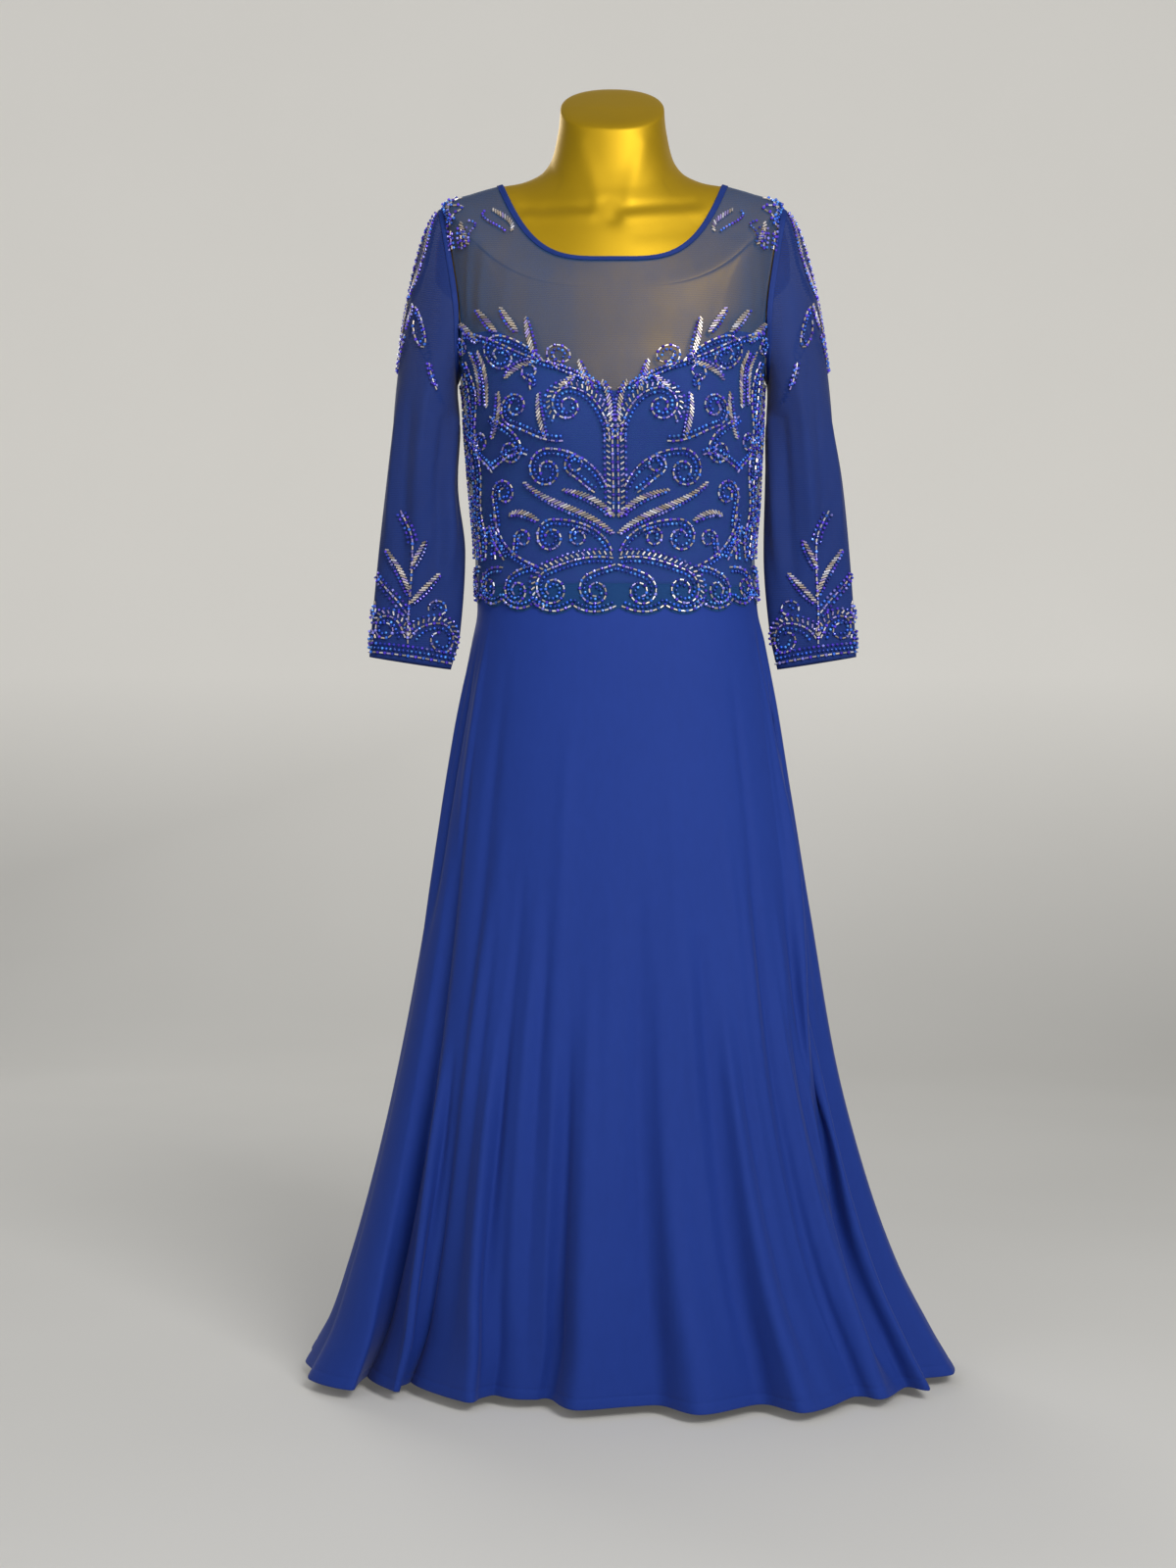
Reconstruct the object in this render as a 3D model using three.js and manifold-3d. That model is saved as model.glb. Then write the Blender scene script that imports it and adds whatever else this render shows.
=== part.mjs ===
// A floor-length evening gown with a sheer beaded bodice and sleeves, standing on a limbless dress form.
// Millimetres, +Z up, the front faces -Y. The origin is on the floor, at the middle of the form's foot.
import * as THREE from "three";
import Module from "manifold-3d";

const wasm = await Module();
wasm.setup();

// Driving sizes
const GAP = 0.3; // between two pieces at a seam, and between parts that rest on each other
const MESH_WALL = 1.0;
const JERSEY_WALL = 1.4;
const BINDING_WALL = 1.6;
const SKIRT_LAYER = 0; // how far the inner face of each layer lies from the figure
const UNDER_LAYER = -1.7;
const MESH_LAYER = 1.9;
const HEM_HEIGHT = 12;
const WAIST_SEAM = 930;
const ARMPIT = 1185; // the level of the lowest point of the armholes
const SHOULDER_TIP = 1329; // a level: above ARMPIT levels count rings, and the rings are saddles
const NECKLINE = 1385;
const NECK_BINDING_WIDTH = 7;
const ARMHOLE_BINDING_WIDTH = 8;
const ARMHOLE_FRONT = 29; // how far the armhole reaches round from the side, in degrees
const ARMHOLE_BACK = 27;
const ARMHOLE_CLEAR = 1.8; // the sleeve's first round lies this far inside the armhole
const ROUNDNESS = 0.9; // 1 is an ellipse, less is squarer
const BACK_UNDER_TOP = ARMPIT - 4; // the level where the under-bodice ends behind
const TORSO_UNDERSIDE = 780;
const CAP_REACH = ARMHOLE_BACK - 5; // how far the form's shoulder caps reach round from the side, in degrees
const ZIP_WIDTH = 5;
const ZIP_END = 760;
const ZIP_TOP = NECKLINE - 2;
const ZIP_FACE = 2.6; // how far the zip's outer face stands out above the waist
const SLIDER_PLACE = 0.72; // the pull's bar, as a share of the way from the yoke's level to the zip's top

const FOOT = { radius: 135, thick: 8, edge: 4, edgeDrop: 3, hubHigh: 42, hubWall: 7, flare: 14, rise: 6 };
const POLE = { radius: 12.5, taper: 8, collar: 18.5, collarLow: 22, collarHigh: 6, flange: 48, plate: 4 };
const SLIDER = { wide: 4.6, thick: 1.6, long: 9, above: 3.2 };
const BRIDGE = { wide: 1.4, half: 2, high: 3, corner: 0.6, opening: 1, openingHigh: 2 };
const PULL = { thick: 1, long: 17, half: 2.1, neck: 1.3, lowHalf: 2.8, corner: 4, bar: 0.5 };
const EYE = { low: 3.4, half: 1.1 }; // the hole in the pull that the slider's bridge goes through

// How finely the walls are divided
const BODICE_COLUMNS = 20;
const BACK_COLUMNS = 8;
const ARMHOLE_ROWS = 10;
const LOBES = 5; // scallops from the middle to the side
const LOBE_POINTS = 5;
const SKIRT_STEPS_FRONT = 3; // between one fold line and the next
const SKIRT_STEPS_BACK = 2;

// Level rings of the figure that the cloth follows. middle is how far the ring sits to the right.
const LEVEL_RINGS = [
  { at: 12, middle: 17, half: 383, front: 208, back: 186 },
  { at: 61, middle: 16, half: 355, front: 205, back: 183 },
  { at: 135, middle: 10, half: 323, front: 200, back: 178 },
  { at: 238, middle: 6, half: 290, front: 190, back: 170 },
  { at: 373, middle: 4, half: 257, front: 175, back: 158 },
  { at: 551, middle: 6, half: 226, front: 155, back: 142 },
  { at: 687, middle: 6, half: 205, front: 140, back: 130 },
  { at: 803, middle: 7, half: 186, front: 127, back: 117 },
  { at: 870, middle: 7, half: 173, front: 118, back: 106 },
  { at: 908, middle: 6, half: 165.5, front: 112, back: 98 },
  { at: 976, middle: 3, half: 164, front: 106, back: 92 },
  { at: 1028, middle: 3, half: 168, front: 112, back: 95 },
  { at: 1075, middle: 2, half: 171, front: 119, back: 99 },
  { at: 1120, middle: 1.5, half: 174, front: 122, back: 102 },
  { at: 1160, middle: 1, half: 175.5, front: 119.5, back: 104 },
  { at: 1185, middle: 0, half: 180, front: 116.5, back: 105 },
];

// Rings over the shoulders and up the neck: the heights of the ring at its sides, front and back.
// bow shapes the fall from the side to the front, and plane is 1 where the ring lies in a tilted plane.
const SADDLE_RINGS = [
  { at: 1210, half: 189, front: 114, back: 106, side: 1207, fore: 1198, aft: 1207, bow: 2.3, plane: 0 },
  { at: 1235, half: 197, front: 112, back: 106, side: 1240, fore: 1214, aft: 1228, bow: 2.5, plane: 0 },
  { at: 1285, half: 201, front: 107, back: 104, side: 1312, fore: 1246, aft: 1272, bow: 2.7, plane: 0 },
  { at: 1329, half: 199, front: 103, back: 92, side: 1388, fore: 1272, aft: 1312, bow: 2.8, plane: 0 },
  { at: 1357, half: 165, front: 99, back: 78, side: 1402, fore: 1289, aft: 1342, bow: 3.2, plane: 0 },
  { at: 1385, half: 130, front: 95, back: 63, side: 1412, fore: 1307, aft: 1370, bow: 3.3, plane: 0 },
  { at: 1400, half: 104, front: 86, back: 60, side: 1419, fore: 1340, aft: 1393, bow: 3.4, plane: 0.3 },
  { at: 1412, half: 84, front: 74, back: 59, side: 1429, fore: 1368, aft: 1411, bow: 3, plane: 0.6 },
  { at: 1425, half: 72, front: 63, back: 59, side: 1446, fore: 1396, aft: 1432, bow: 3, plane: 1 },
  { at: 1445, half: 66, front: 57, back: 58, side: 1470, fore: 1425, aft: 1464, bow: 3, plane: 1 },
  { at: 1465, half: 63, front: 55, back: 58, side: 1490, fore: 1447, aft: 1508, bow: 3, plane: 1 },
  { at: 1480, half: 62, front: 54, back: 58, side: 1506, fore: 1464, aft: 1548, bow: 3, plane: 1 },
];

const RINGS = [
  ...LEVEL_RINGS.map((r) => ({ ...r, side: r.at, fore: r.at, aft: r.at, bow: 2.2, plane: 0 })),
  ...SADDLE_RINGS.map((r) => ({ ...r, middle: 0 })),
];

// The cups: how far they stand out, and where.
const CUP = { out: 14, level: 1122, tall: 48, angle: 28, wide: 17 };

// The skirt's fold lines, round from the left side seam over the front at 0 to the right at 90 and on.
// at is the angle at the waist, hem the angle at the hem, and out how far the hem lies out there.
// from is the height where the fold starts, and ease how it grows on the way down.
const FOLDS = [
  { at: -90, hem: -90, out: 0, from: 900, ease: 1.5 },
  { at: -81, hem: -80, out: -9, from: 850, ease: 0.8 },
  { at: -73, hem: -70, out: 6, from: 760, ease: 1.3 },
  { at: -64, hem: -54, out: -5, from: 760, ease: 1.5 },
  { at: -57, hem: -63, out: -56, from: 780, ease: 1.5 },
  { at: -50, hem: -44, out: -27, from: 560, ease: 1.5 },
  { at: -42, hem: -46, out: -70, from: 520, ease: 1.8 },
  { at: -31, hem: -26, out: -16, from: 480, ease: 1.7 },
  { at: -24, hem: -22.5, out: -50, from: 440, ease: 1.9 },
  { at: -18, hem: -17, out: -36, from: 440, ease: 1.6 },
  { at: -12, hem: -13, out: -45, from: 450, ease: 1.5 },
  { at: -5, hem: -7, out: -2, from: 450, ease: 1.5 },
  { at: 3, hem: 3, out: -22, from: 520, ease: 1.5 },
  { at: 10, hem: 9.5, out: 17, from: 520, ease: 1.5 },
  { at: 19, hem: 20, out: -15, from: 400, ease: 1.3 },
  { at: 28, hem: 27, out: 27, from: 500, ease: 1.5 },
  { at: 38, hem: 40.5, out: -13, from: 470, ease: 1.2 },
  { at: 46, hem: 45, out: 9, from: 450, ease: 1.5 },
  { at: 54, hem: 56, out: -12, from: 450, ease: 1.3 },
  { at: 61, hem: 58.5, out: 14, from: 820, ease: 1.2 },
  { at: 69, hem: 67, out: -18, from: 880, ease: 0.6 },
  { at: 78, hem: 77, out: 7, from: 880, ease: 0.8 },
  { at: 90, hem: 90, out: 0, from: 900, ease: 1 },
  { at: 99, hem: 100, out: -14, from: 800, ease: 1 },
  { at: 108, hem: 107, out: 15, from: 640, ease: 1.4 },
  { at: 118, hem: 119, out: -24, from: 580, ease: 1.5 },
  { at: 128, hem: 127, out: 15, from: 560, ease: 1.5 },
  { at: 137, hem: 138, out: -20, from: 500, ease: 1.4 },
  { at: 147, hem: 146, out: 18, from: 480, ease: 1.5 },
  { at: 156, hem: 157, out: -22, from: 460, ease: 1.6 },
  { at: 166, hem: 165, out: 14, from: 520, ease: 1.5 },
  { at: 173, hem: 174, out: -13, from: 600, ease: 1.4 },
  { at: 180, hem: 180, out: 5, from: 640, ease: 1.4 },
  { at: 187, hem: 186, out: -15, from: 620, ease: 1.4 },
  { at: 196, hem: 197, out: 14, from: 470, ease: 1.5 },
  { at: 205, hem: 204, out: -24, from: 450, ease: 1.6 },
  { at: 215, hem: 216, out: 17, from: 520, ease: 1.5 },
  { at: 225, hem: 224, out: -21, from: 540, ease: 1.4 },
  { at: 235, hem: 236, out: 15, from: 600, ease: 1.5 },
  { at: 245, hem: 244, out: -26, from: 620, ease: 1.5 },
  { at: 254, hem: 255, out: 12, from: 720, ease: 1.3 },
  { at: 262, hem: 261, out: -13, from: 800, ease: 1 },
  { at: 270, hem: 270, out: 0, from: 900, ease: 1.5 },
];

// The sleeves below the armholes: how far out the outer and inner edges lie on each arm, the edges' heights,
// half the sleeve's depth and the place of its middle from front to back.
const SLEEVE_SECTIONS = [
  { at: 0, left: 261, leftIn: 182, right: 262, rightIn: 184, high: 1130, highIn: 1130, deep: 50, y: -2 },
  { at: 0.25, left: 269, leftIn: 184, right: 274, rightIn: 182, high: 1060, highIn: 1060, deep: 42, y: -4 },
  { at: 0.55, left: 278, leftIn: 175, right: 282, rightIn: 180, high: 978, highIn: 975, deep: 30, y: -7 },
  { at: 0.86, left: 286, leftIn: 181, right: 288, rightIn: 187, high: 890, highIn: 880, deep: 20, y: -10 },
  { at: 1, left: 289, leftIn: 192, right: 290, rightIn: 196, high: 852, highIn: 837, deep: 16, y: -11 },
];
const SLEEVE_HEAD_ROWS = [0, 0.1, 0.25, 0.42, 0.6, 0.8]; // shares of the way from the armhole to the arm
const SLEEVE_ARM_ROWS = [0, 0.12, 0.25, 0.4, 0.55, 0.7, 0.86, 1];

// The upper edge of the under-bodice, from the middle front to the side.
const SWEETHEART = [
  { at: 0, height: 1148 },
  { at: 20, height: 1157 },
  { at: 45, height: 1171 },
  { at: 82, height: 1187 },
  { at: 120, height: 1216 },
  { at: 142, height: 1225 },
  { at: 200, height: 1224 },
];

// How far the form lies from the figure, level by level, and how its shoulder cap stands out.
const FORM_ROWS = [
  { at: 780, out: -10, cap: 0 },
  { at: 976, out: -10, cap: 0 },
  { at: 1120, out: -4.5, cap: 0 },
  { at: 1185, out: -5.5, cap: -8 },
  { at: 1234, out: -5.5, cap: -24 },
  { at: 1257, out: -3, cap: -16 },
  { at: 1279, out: -2, cap: 13 },
  { at: 1299, out: -1.2, cap: 11 },
  { at: 1314, out: -1, cap: 3 },
  { at: 1324, out: -1.2, cap: -2.5 },
  { at: 1329, out: -0.6, cap: 0 },
  { at: 1357, out: -1, cap: 0 },
  { at: 1385, out: -1.6, cap: 0 },
  { at: 1400, out: 0, cap: 0 },
  { at: 1480, out: 0, cap: 0 },
];
const SHOULDER_SEAT = 1.2; // how much nearer the form lies under the shoulder seams, which it carries
const SHOULDER_SEAT_WIDE = 26; // degrees

const COLOURS = {
  jersey: { color: 0x24419b, roughness: 0.72, metalness: 0 },
  mesh: { color: 0x25459f, roughness: 0.8, metalness: 0, transparent: true, opacity: 0.75 },
  binding: { color: 0x1c3684, roughness: 0.7, metalness: 0 },
  zip: { color: 0x1f3a8c, roughness: 0.5, metalness: 0.2 },
  gold: { color: 0xc39a1f, roughness: 0.35, metalness: 0.75 },
  steel: { color: 0x9a9a98, roughness: 0.4, metalness: 0.9 },
};

const radians = THREE.MathUtils.degToRad;
const mix = THREE.MathUtils.lerp;
const clamp = THREE.MathUtils.clamp;
const point = (x, y, z) => new THREE.Vector3(x, y, z);

// The value of a table's column at a place, on a smooth curve that never overshoots the rows.
function along(rows, at, column) {
  const last = rows.length - 1;
  const found = rows.findIndex((row) => row.at > at);
  const i = found < 0 ? last - 1 : Math.max(found - 1, 0);
  const width = (k) => rows[k + 1].at - rows[k].at;
  const slope = (k) => (rows[k + 1][column] - rows[k][column]) / width(k);
  const tangent = (k) => {
    if (k === 0) return slope(0);
    if (k === last) return slope(last - 1);
    const [before, after] = [slope(k - 1), slope(k)];
    if (before * after <= 0) return 0;
    const [w0, w1] = [2 * width(k) + width(k - 1), width(k) + 2 * width(k - 1)];
    return (w0 + w1) / (w0 / before + w1 / after);
  };
  const h = width(i);
  const t = clamp((at - rows[i].at) / h, 0, 1);
  const start = rows[i][column] * (1 + 2 * t) * (1 - t) ** 2 + h * tangent(i) * t * (1 - t) ** 2;
  return start + rows[i + 1][column] * t * t * (3 - 2 * t) - h * tangent(i + 1) * t * t * (1 - t);
}

// The figure that the cloth follows: angle 0 is the front, 90 the right side and 180 the back.
function figure(angle, level) {
  const ring = (column) => along(RINGS, level, column);
  const across = Math.sin(radians(angle));
  const forward = Math.cos(radians(angle));
  const wide = Math.sign(across) * Math.abs(across) ** ROUNDNESS;
  const deep = Math.abs(forward) ** ROUNDNESS;
  const tilt = mix(1 - Math.abs(across) ** ring("bow"), deep, ring("plane"));
  const side = ring("side");
  const end = forward > 0 ? ring("fore") : ring("aft");
  const cup = (middle) => Math.exp(-(((angle - middle) / CUP.wide) ** 2));
  const cups = (cup(CUP.angle) + cup(-CUP.angle)) * Math.exp(-(((level - CUP.level) / CUP.tall) ** 2));
  const y = forward > 0 ? -ring("front") * deep : ring("back") * deep;
  return point(ring("middle") + ring("half") * wide, y - CUP.out * cups, side + (end - side) * tilt);
}

// The skirt: the figure, moved in and out along the fold lines.
function skirt(angle, level) {
  const fold = (column) => along(FOLDS, angle, column);
  const grown = clamp((fold("from") - level) / (fold("from") - HEM_HEIGHT), 0, 1) ** fold("ease");
  const turned = angle + (fold("hem") - angle) * grown * grown;
  const p = figure(turned, level);
  const ahead = figure(turned + 0.5, level).sub(figure(turned - 0.5, level));
  return p.add(point(ahead.y, -ahead.x, 0).normalize().multiplyScalar(fold("out") * grown));
}

// A point of a surface, moved out from it.
function movedOut(surface, a, b, out) {
  const [stepA, stepB] = surface.steps;
  const alongA = surface.at(a + stepA, b).sub(surface.at(a - stepA, b));
  const alongB = surface.at(a, b + stepB).sub(surface.at(a, b - stepB));
  return surface.at(a, b).addScaledVector(alongA.cross(alongB).normalize(), out * surface.outward);
}

const FIGURE = { at: figure, steps: [0.2, 0.5], outward: 1 };
const SKIRT = { at: skirt, steps: [0.2, 0.5], outward: 1 };

// Triangles between two rows of vertices, which may have different numbers of points.
function stitch(lower, upper, faces) {
  let [i, j] = [0, 0];
  while (i < lower.length - 1 || j < upper.length - 1) {
    const lowerNext = (i + 1) / (lower.length - 1);
    const upperNext = (j + 1) / (upper.length - 1);
    const step = j === upper.length - 1 || (i < lower.length - 1 && lowerNext <= upperNext);
    faces.push(step ? [lower[i], lower[i + 1], upper[j]] : [lower[i], upper[j + 1], upper[j]]);
    if (step) i += 1;
    else j += 1;
  }
}

// Collects shared vertices and faces, and makes a closed geometry of them.
class Shell {
  constructor() {
    this.places = [];
    this.known = new Map();
    this.faces = [];
  }
  row(points) {
    return points.map((p) => {
      const key = [p.x, p.y, p.z].map((value) => Math.round(value * 500)).join();
      if (!this.known.has(key)) {
        this.known.set(key, this.places.length);
        this.places.push(p);
      }
      return this.known.get(key);
    });
  }
  geometry() {
    const sound = this.faces.filter(([a, b, c]) => a !== b && b !== c && a !== c);
    const made = new THREE.BufferGeometry().setFromPoints(this.places);
    made.setIndex(sound.flat());
    made.computeVertexNormals();
    return made;
  }
}

// A cloth wall through rows of points from its lower edge to its upper edge. Each point is a pair: the
// outer one and the inner one. A closed wall goes all the way round.
function wall(rows, closed = false) {
  const shell = new Shell();
  const ring = (list) => (closed ? [...list, list[0]] : list);
  const outer = rows.map((row) => ring(shell.row(row.map((pair) => pair[0]))));
  const inner = rows.map((row) => ring(shell.row(row.map((pair) => pair[1]))));
  for (let r = 0; r + 1 < rows.length; r += 1) {
    stitch(outer[r], outer[r + 1], shell.faces);
    stitch([...inner[r]].reverse(), [...inner[r + 1]].reverse(), shell.faces);
  }
  stitch(inner[0], outer[0], shell.faces);
  stitch(outer.at(-1), inner.at(-1), shell.faces);
  if (!closed) {
    const edge = (list, at) => list.map((row) => row.at(at));
    stitch(edge(outer, 0), edge(inner, 0), shell.faces);
    stitch(edge(inner, -1), edge(outer, -1), shell.faces);
  }
  return shell.geometry();
}

const spread = (from, to, steps) => Array.from({ length: steps + 1 }, (_, i) => mix(from, to, i / steps));

// The angle that leaves a part of the seam's gap free beside a seam at the side or the middle back.
const besideSide = (gap, level, column) =>
  (Math.asin((gap / along(RINGS, level, column)) ** (1 / ROUNDNESS)) * 180) / Math.PI;

// The share of the armhole's round at which a level lies, and the angle of its edge there.
const armholeOpen = (level) => {
  const height = (2 * (level - ARMPIT)) / (SHOULDER_TIP - ARMPIT) - 1;
  return Math.sqrt(Math.max(0, 1 - height ** 2));
};
const frontEdge = (level) =>
  90 - ARMHOLE_FRONT * armholeOpen(level) - besideSide(GAP / 2, level, "front");
const backEdge = (level) =>
  90 + ARMHOLE_BACK * armholeOpen(level) + besideSide(GAP / 2, level, "back");
const zipEdge = (level) => 180 - besideSide(ZIP_WIDTH / 2 + GAP, level, "half");
const seamEdge = (level) => 180 - besideSide(GAP / 2, level, "half");

// Which angles a bodice piece spans at a level.
const SPANS = {
  front: (level) => [-frontEdge(level), frontEdge(level)],
  backRight: (level) => [backEdge(level), zipEdge(level)],
  backLeft: (level) => [360 - zipEdge(level), 360 - backEdge(level)],
};
const columnsOf = (span) => (span === "front" ? BODICE_COLUMNS : BACK_COLUMNS);

const armholeLevels = spread(0, Math.PI, ARMHOLE_ROWS).map(
  (turn) => ARMPIT + ((SHOULDER_TIP - ARMPIT) * (1 - Math.cos(turn))) / 2,
);
const LOWER_LEVELS = [945, 980, 1015, 1050, 1085, 1118, 1152];
const YOKE_LEVEL = 1352; // between the shoulder tips and the neck binding
const bindingStart = NECKLINE - NECK_BINDING_WIDTH;

function bodiceRow(span, level, inner, outer) {
  const [from, to] = SPANS[span](level);
  return spread(from, to, columnsOf(span)).map((angle) => [
    movedOut(FIGURE, angle, level, outer),
    movedOut(FIGURE, angle, level, inner),
  ]);
}

// The scalloped lower edge of the beaded bodice.
function scallopLevel(angle) {
  const side = Math.abs(Math.sin(radians(angle)));
  const round = Math.abs(((angle + 180) % 360) - 180);
  const fromMiddle = (round > 90 ? 180 - round : round) / 90;
  const share = fromMiddle * (1.14 - 0.14 * fromMiddle);
  const lobe = Math.abs(Math.sin(Math.PI * LOBES * share)) ** 0.7;
  return (round > 90 ? 909 : 902) + 22 * side ** 3 - 9 * lobe;
}

function scallopRow(span, inner, outer) {
  const [from, to] = SPANS[span](LOWER_LEVELS[0]);
  const steps = LOBES * LOBE_POINTS * (span === "front" ? 2 : 1);
  return spread(from, to, steps).map((angle) => {
    const level = scallopLevel(angle);
    return [movedOut(FIGURE, angle, level, outer), movedOut(FIGURE, angle, level, inner)];
  });
}

function meshBodice(span) {
  const [inner, outer] = [MESH_LAYER, MESH_LAYER + MESH_WALL];
  const levels = [...LOWER_LEVELS, ...armholeLevels, YOKE_LEVEL, bindingStart - GAP];
  const rows = levels.map((level) => bodiceRow(span, level, inner, outer));
  return wall([scallopRow(span, inner, outer), ...rows]);
}

function neckBinding(span) {
  const inner = MESH_LAYER - (BINDING_WALL - MESH_WALL) / 2;
  const rows = [bindingStart, NECKLINE].map((level) => bodiceRow(span, level, inner, inner + BINDING_WALL));
  return wall(rows);
}

// The level at which a column of the front meets the sweetheart line, by its share of the front's width.
function sweetheartLevel(share) {
  let [low, high] = [WAIST_SEAM, SHOULDER_TIP];
  while (high - low > 0.05) {
    const level = (low + high) / 2;
    const p = figure(mix(...SPANS.front(level), share), level);
    if (p.z > along(SWEETHEART, Math.abs(p.x), "height")) high = level;
    else low = level;
  }
  return low;
}

// The opaque layer under the mesh. In front it ends in the sweetheart line, behind it ends level.
function underBodice(span) {
  const [inner, outer] = [UNDER_LAYER, UNDER_LAYER + MESH_WALL];
  const plain = [WAIST_SEAM + GAP / 2, ...LOWER_LEVELS.slice(1, -1)];
  const rows = plain.map((level) => bodiceRow(span, level, inner, outer));
  const top = (share) => (span === "front" ? sweetheartLevel(share) : BACK_UNDER_TOP);
  for (const rise of [1 / 3, 2 / 3, 1]) {
    const steps = columnsOf(span) * (span === "front" && rise === 1 ? 2 : 1);
    const row = spread(0, 1, steps).map((share) => {
      const level = mix(plain.at(-1), top(share), rise);
      const angle = mix(...SPANS[span](level), share);
      return [outer, inner].map((out) => movedOut(FIGURE, angle, level, out));
    });
    rows.push(row);
  }
  return wall(rows);
}

const SKIRT_TOP_LEVELS = [WAIST_SEAM - GAP / 2, 905, 878];
const SKIRT_FOLD_LEVELS = [850, 780, 700, 610, 510, 410, 320, 240, 170, 108, 55, HEM_HEIGHT];

const SKIRT_SPANS = {
  front: { from: -90, to: 90, fine: SKIRT_STEPS_FRONT, coarse: BODICE_COLUMNS },
  backRight: { from: 90, to: 180, fine: SKIRT_STEPS_BACK, coarse: BACK_COLUMNS },
  backLeft: { from: 180, to: 270, fine: SKIRT_STEPS_BACK, coarse: BACK_COLUMNS },
};

// The columns of a skirt panel: the fold lines and the steps between them, kept clear of its two seams.
function skirtColumns(span, level, folded) {
  const { from, to, fine, coarse } = SKIRT_SPANS[span];
  const lines = FOLDS.map((fold) => fold.at).filter((at) => at >= from && at <= to);
  const between = lines.slice(1).flatMap((line, i) => spread(lines[i], line, fine).slice(1));
  const angles = folded ? [from, ...between] : spread(from, to, coarse);
  const centre = level > ZIP_END ? zipEdge(level) : seamEdge(level);
  const side = besideSide(GAP / 2, level, "front");
  const low = from === 180 ? 360 - centre : from + side;
  const high = to === 180 ? centre : to - side;
  return angles.map((angle) => clamp(angle, low, high));
}

function skirtPanel(span) {
  const row = (level, folded) =>
    skirtColumns(span, level, folded).map((angle) => [
      movedOut(SKIRT, angle, level, SKIRT_LAYER + JERSEY_WALL),
      movedOut(SKIRT, angle, level, SKIRT_LAYER),
    ]);
  const endOfZip = span === "front" ? [] : [ZIP_END + 1, ZIP_END - 1];
  const folded = [...SKIRT_FOLD_LEVELS, ...endOfZip].sort((a, b) => a - b);
  const plain = SKIRT_TOP_LEVELS.toReversed();
  return wall([...folded.map((level) => row(level, true)), ...plain.map((level) => row(level, false))]);
}

// A sleeve's surface. share goes round from the inside of the arm over the front and the outside,
// way from 0 at the armhole to 1 where the arm starts, and on to 2 at the cuff.
function sleeveSurface(side) {
  const [out, into] = side < 0 ? ["left", "leftIn"] : ["right", "rightIn"];
  const arm = (share, way) => {
    const section = (column) => along(SLEEVE_SECTIONS, way, column);
    const lead = (1 - Math.cos(2 * Math.PI * share)) / 2;
    const x = side * mix(section(into), section(out), lead);
    const y = section("y") - section("deep") * Math.sin(2 * Math.PI * share);
    return point(x, y, mix(section("highIn"), section("high"), lead));
  };
  const armhole = (share) => {
    const turn = 2 * Math.PI * share;
    const halfway = (ARMPIT + SHOULDER_TIP) / 2;
    const level = halfway - (halfway - ARMPIT - ARMHOLE_CLEAR) * Math.cos(turn);
    const widest = (turn < Math.PI ? ARMHOLE_FRONT : ARMHOLE_BACK) - ARMHOLE_CLEAR / 2;
    return movedOut(FIGURE, side * (90 - widest * Math.sin(turn)), level, MESH_LAYER + MESH_WALL / 2);
  };
  const at = (share, way) => {
    if (way >= 1) return arm(share, way - 1);
    const [from, to] = [armhole(share), arm(share, 0)];
    const height = (1 - Math.cos(2 * Math.PI * share)) / 2;
    const leave = point(side, -0.12 * Math.sin(2 * Math.PI * share), mix(-0.12, -0.3, height));
    const far = from.distanceTo(to);
    const [t, u] = [way, 1 - way];
    return point(0, 0, 0)
      .addScaledVector(from, u * u * (1 + 2 * t))
      .addScaledVector(leave.normalize(), 0.36 * far * t * u * u)
      .addScaledVector(to, t * t * (3 - 2 * t))
      .addScaledVector(point(side * 0.06, 0, -1), -0.95 * far * t * t * u);
  };
  return { at, steps: [0.002, 0.002], outward: -side };
}

// Where a line down the sleeve has come a distance from the armhole.
function wayAtDistance(surface, share, distance) {
  const start = surface.at(share, 0);
  let [low, high] = [0, 0.9];
  for (let halving = 0; halving < 20; halving += 1) {
    const way = (low + high) / 2;
    if (surface.at(share, way).distanceTo(start) < distance) low = way;
    else high = way;
  }
  return low;
}

// A row of points round a sleeve. In the arm it is set by its way, and in the sleeve's head by its share
// of the way from a distance off the armhole to the arm.
function sleeveRow(side, way, thick) {
  const surface = sleeveSurface(side);
  const shares = spread(0, 1, 2 * ARMHOLE_ROWS).slice(0, -1);
  if (side < 0) shares.reverse();
  return shares.map((share) => {
    const place = way.arm ?? mix(wayAtDistance(surface, share, way.distance), 1, way.head ?? 0);
    return [movedOut(surface, share, place, thick / 2), movedOut(surface, share, place, -thick / 2)];
  });
}

function sleeve(side) {
  const arm = SLEEVE_ARM_ROWS.map((way) => ({ arm: 1 + way })).toReversed();
  const distance = ARMHOLE_BINDING_WIDTH + 2 * GAP;
  const head = SLEEVE_HEAD_ROWS.map((share) => ({ distance, head: share })).toReversed();
  return wall([...arm, ...head].map((way) => sleeveRow(side, way, MESH_WALL)), true);
}

function armholeBinding(side) {
  const rows = [{ distance: ARMHOLE_BINDING_WIDTH }, { distance: GAP }];
  return wall(rows.map((way) => sleeveRow(side, way, BINDING_WALL - 0.2)), true);
}

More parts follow.
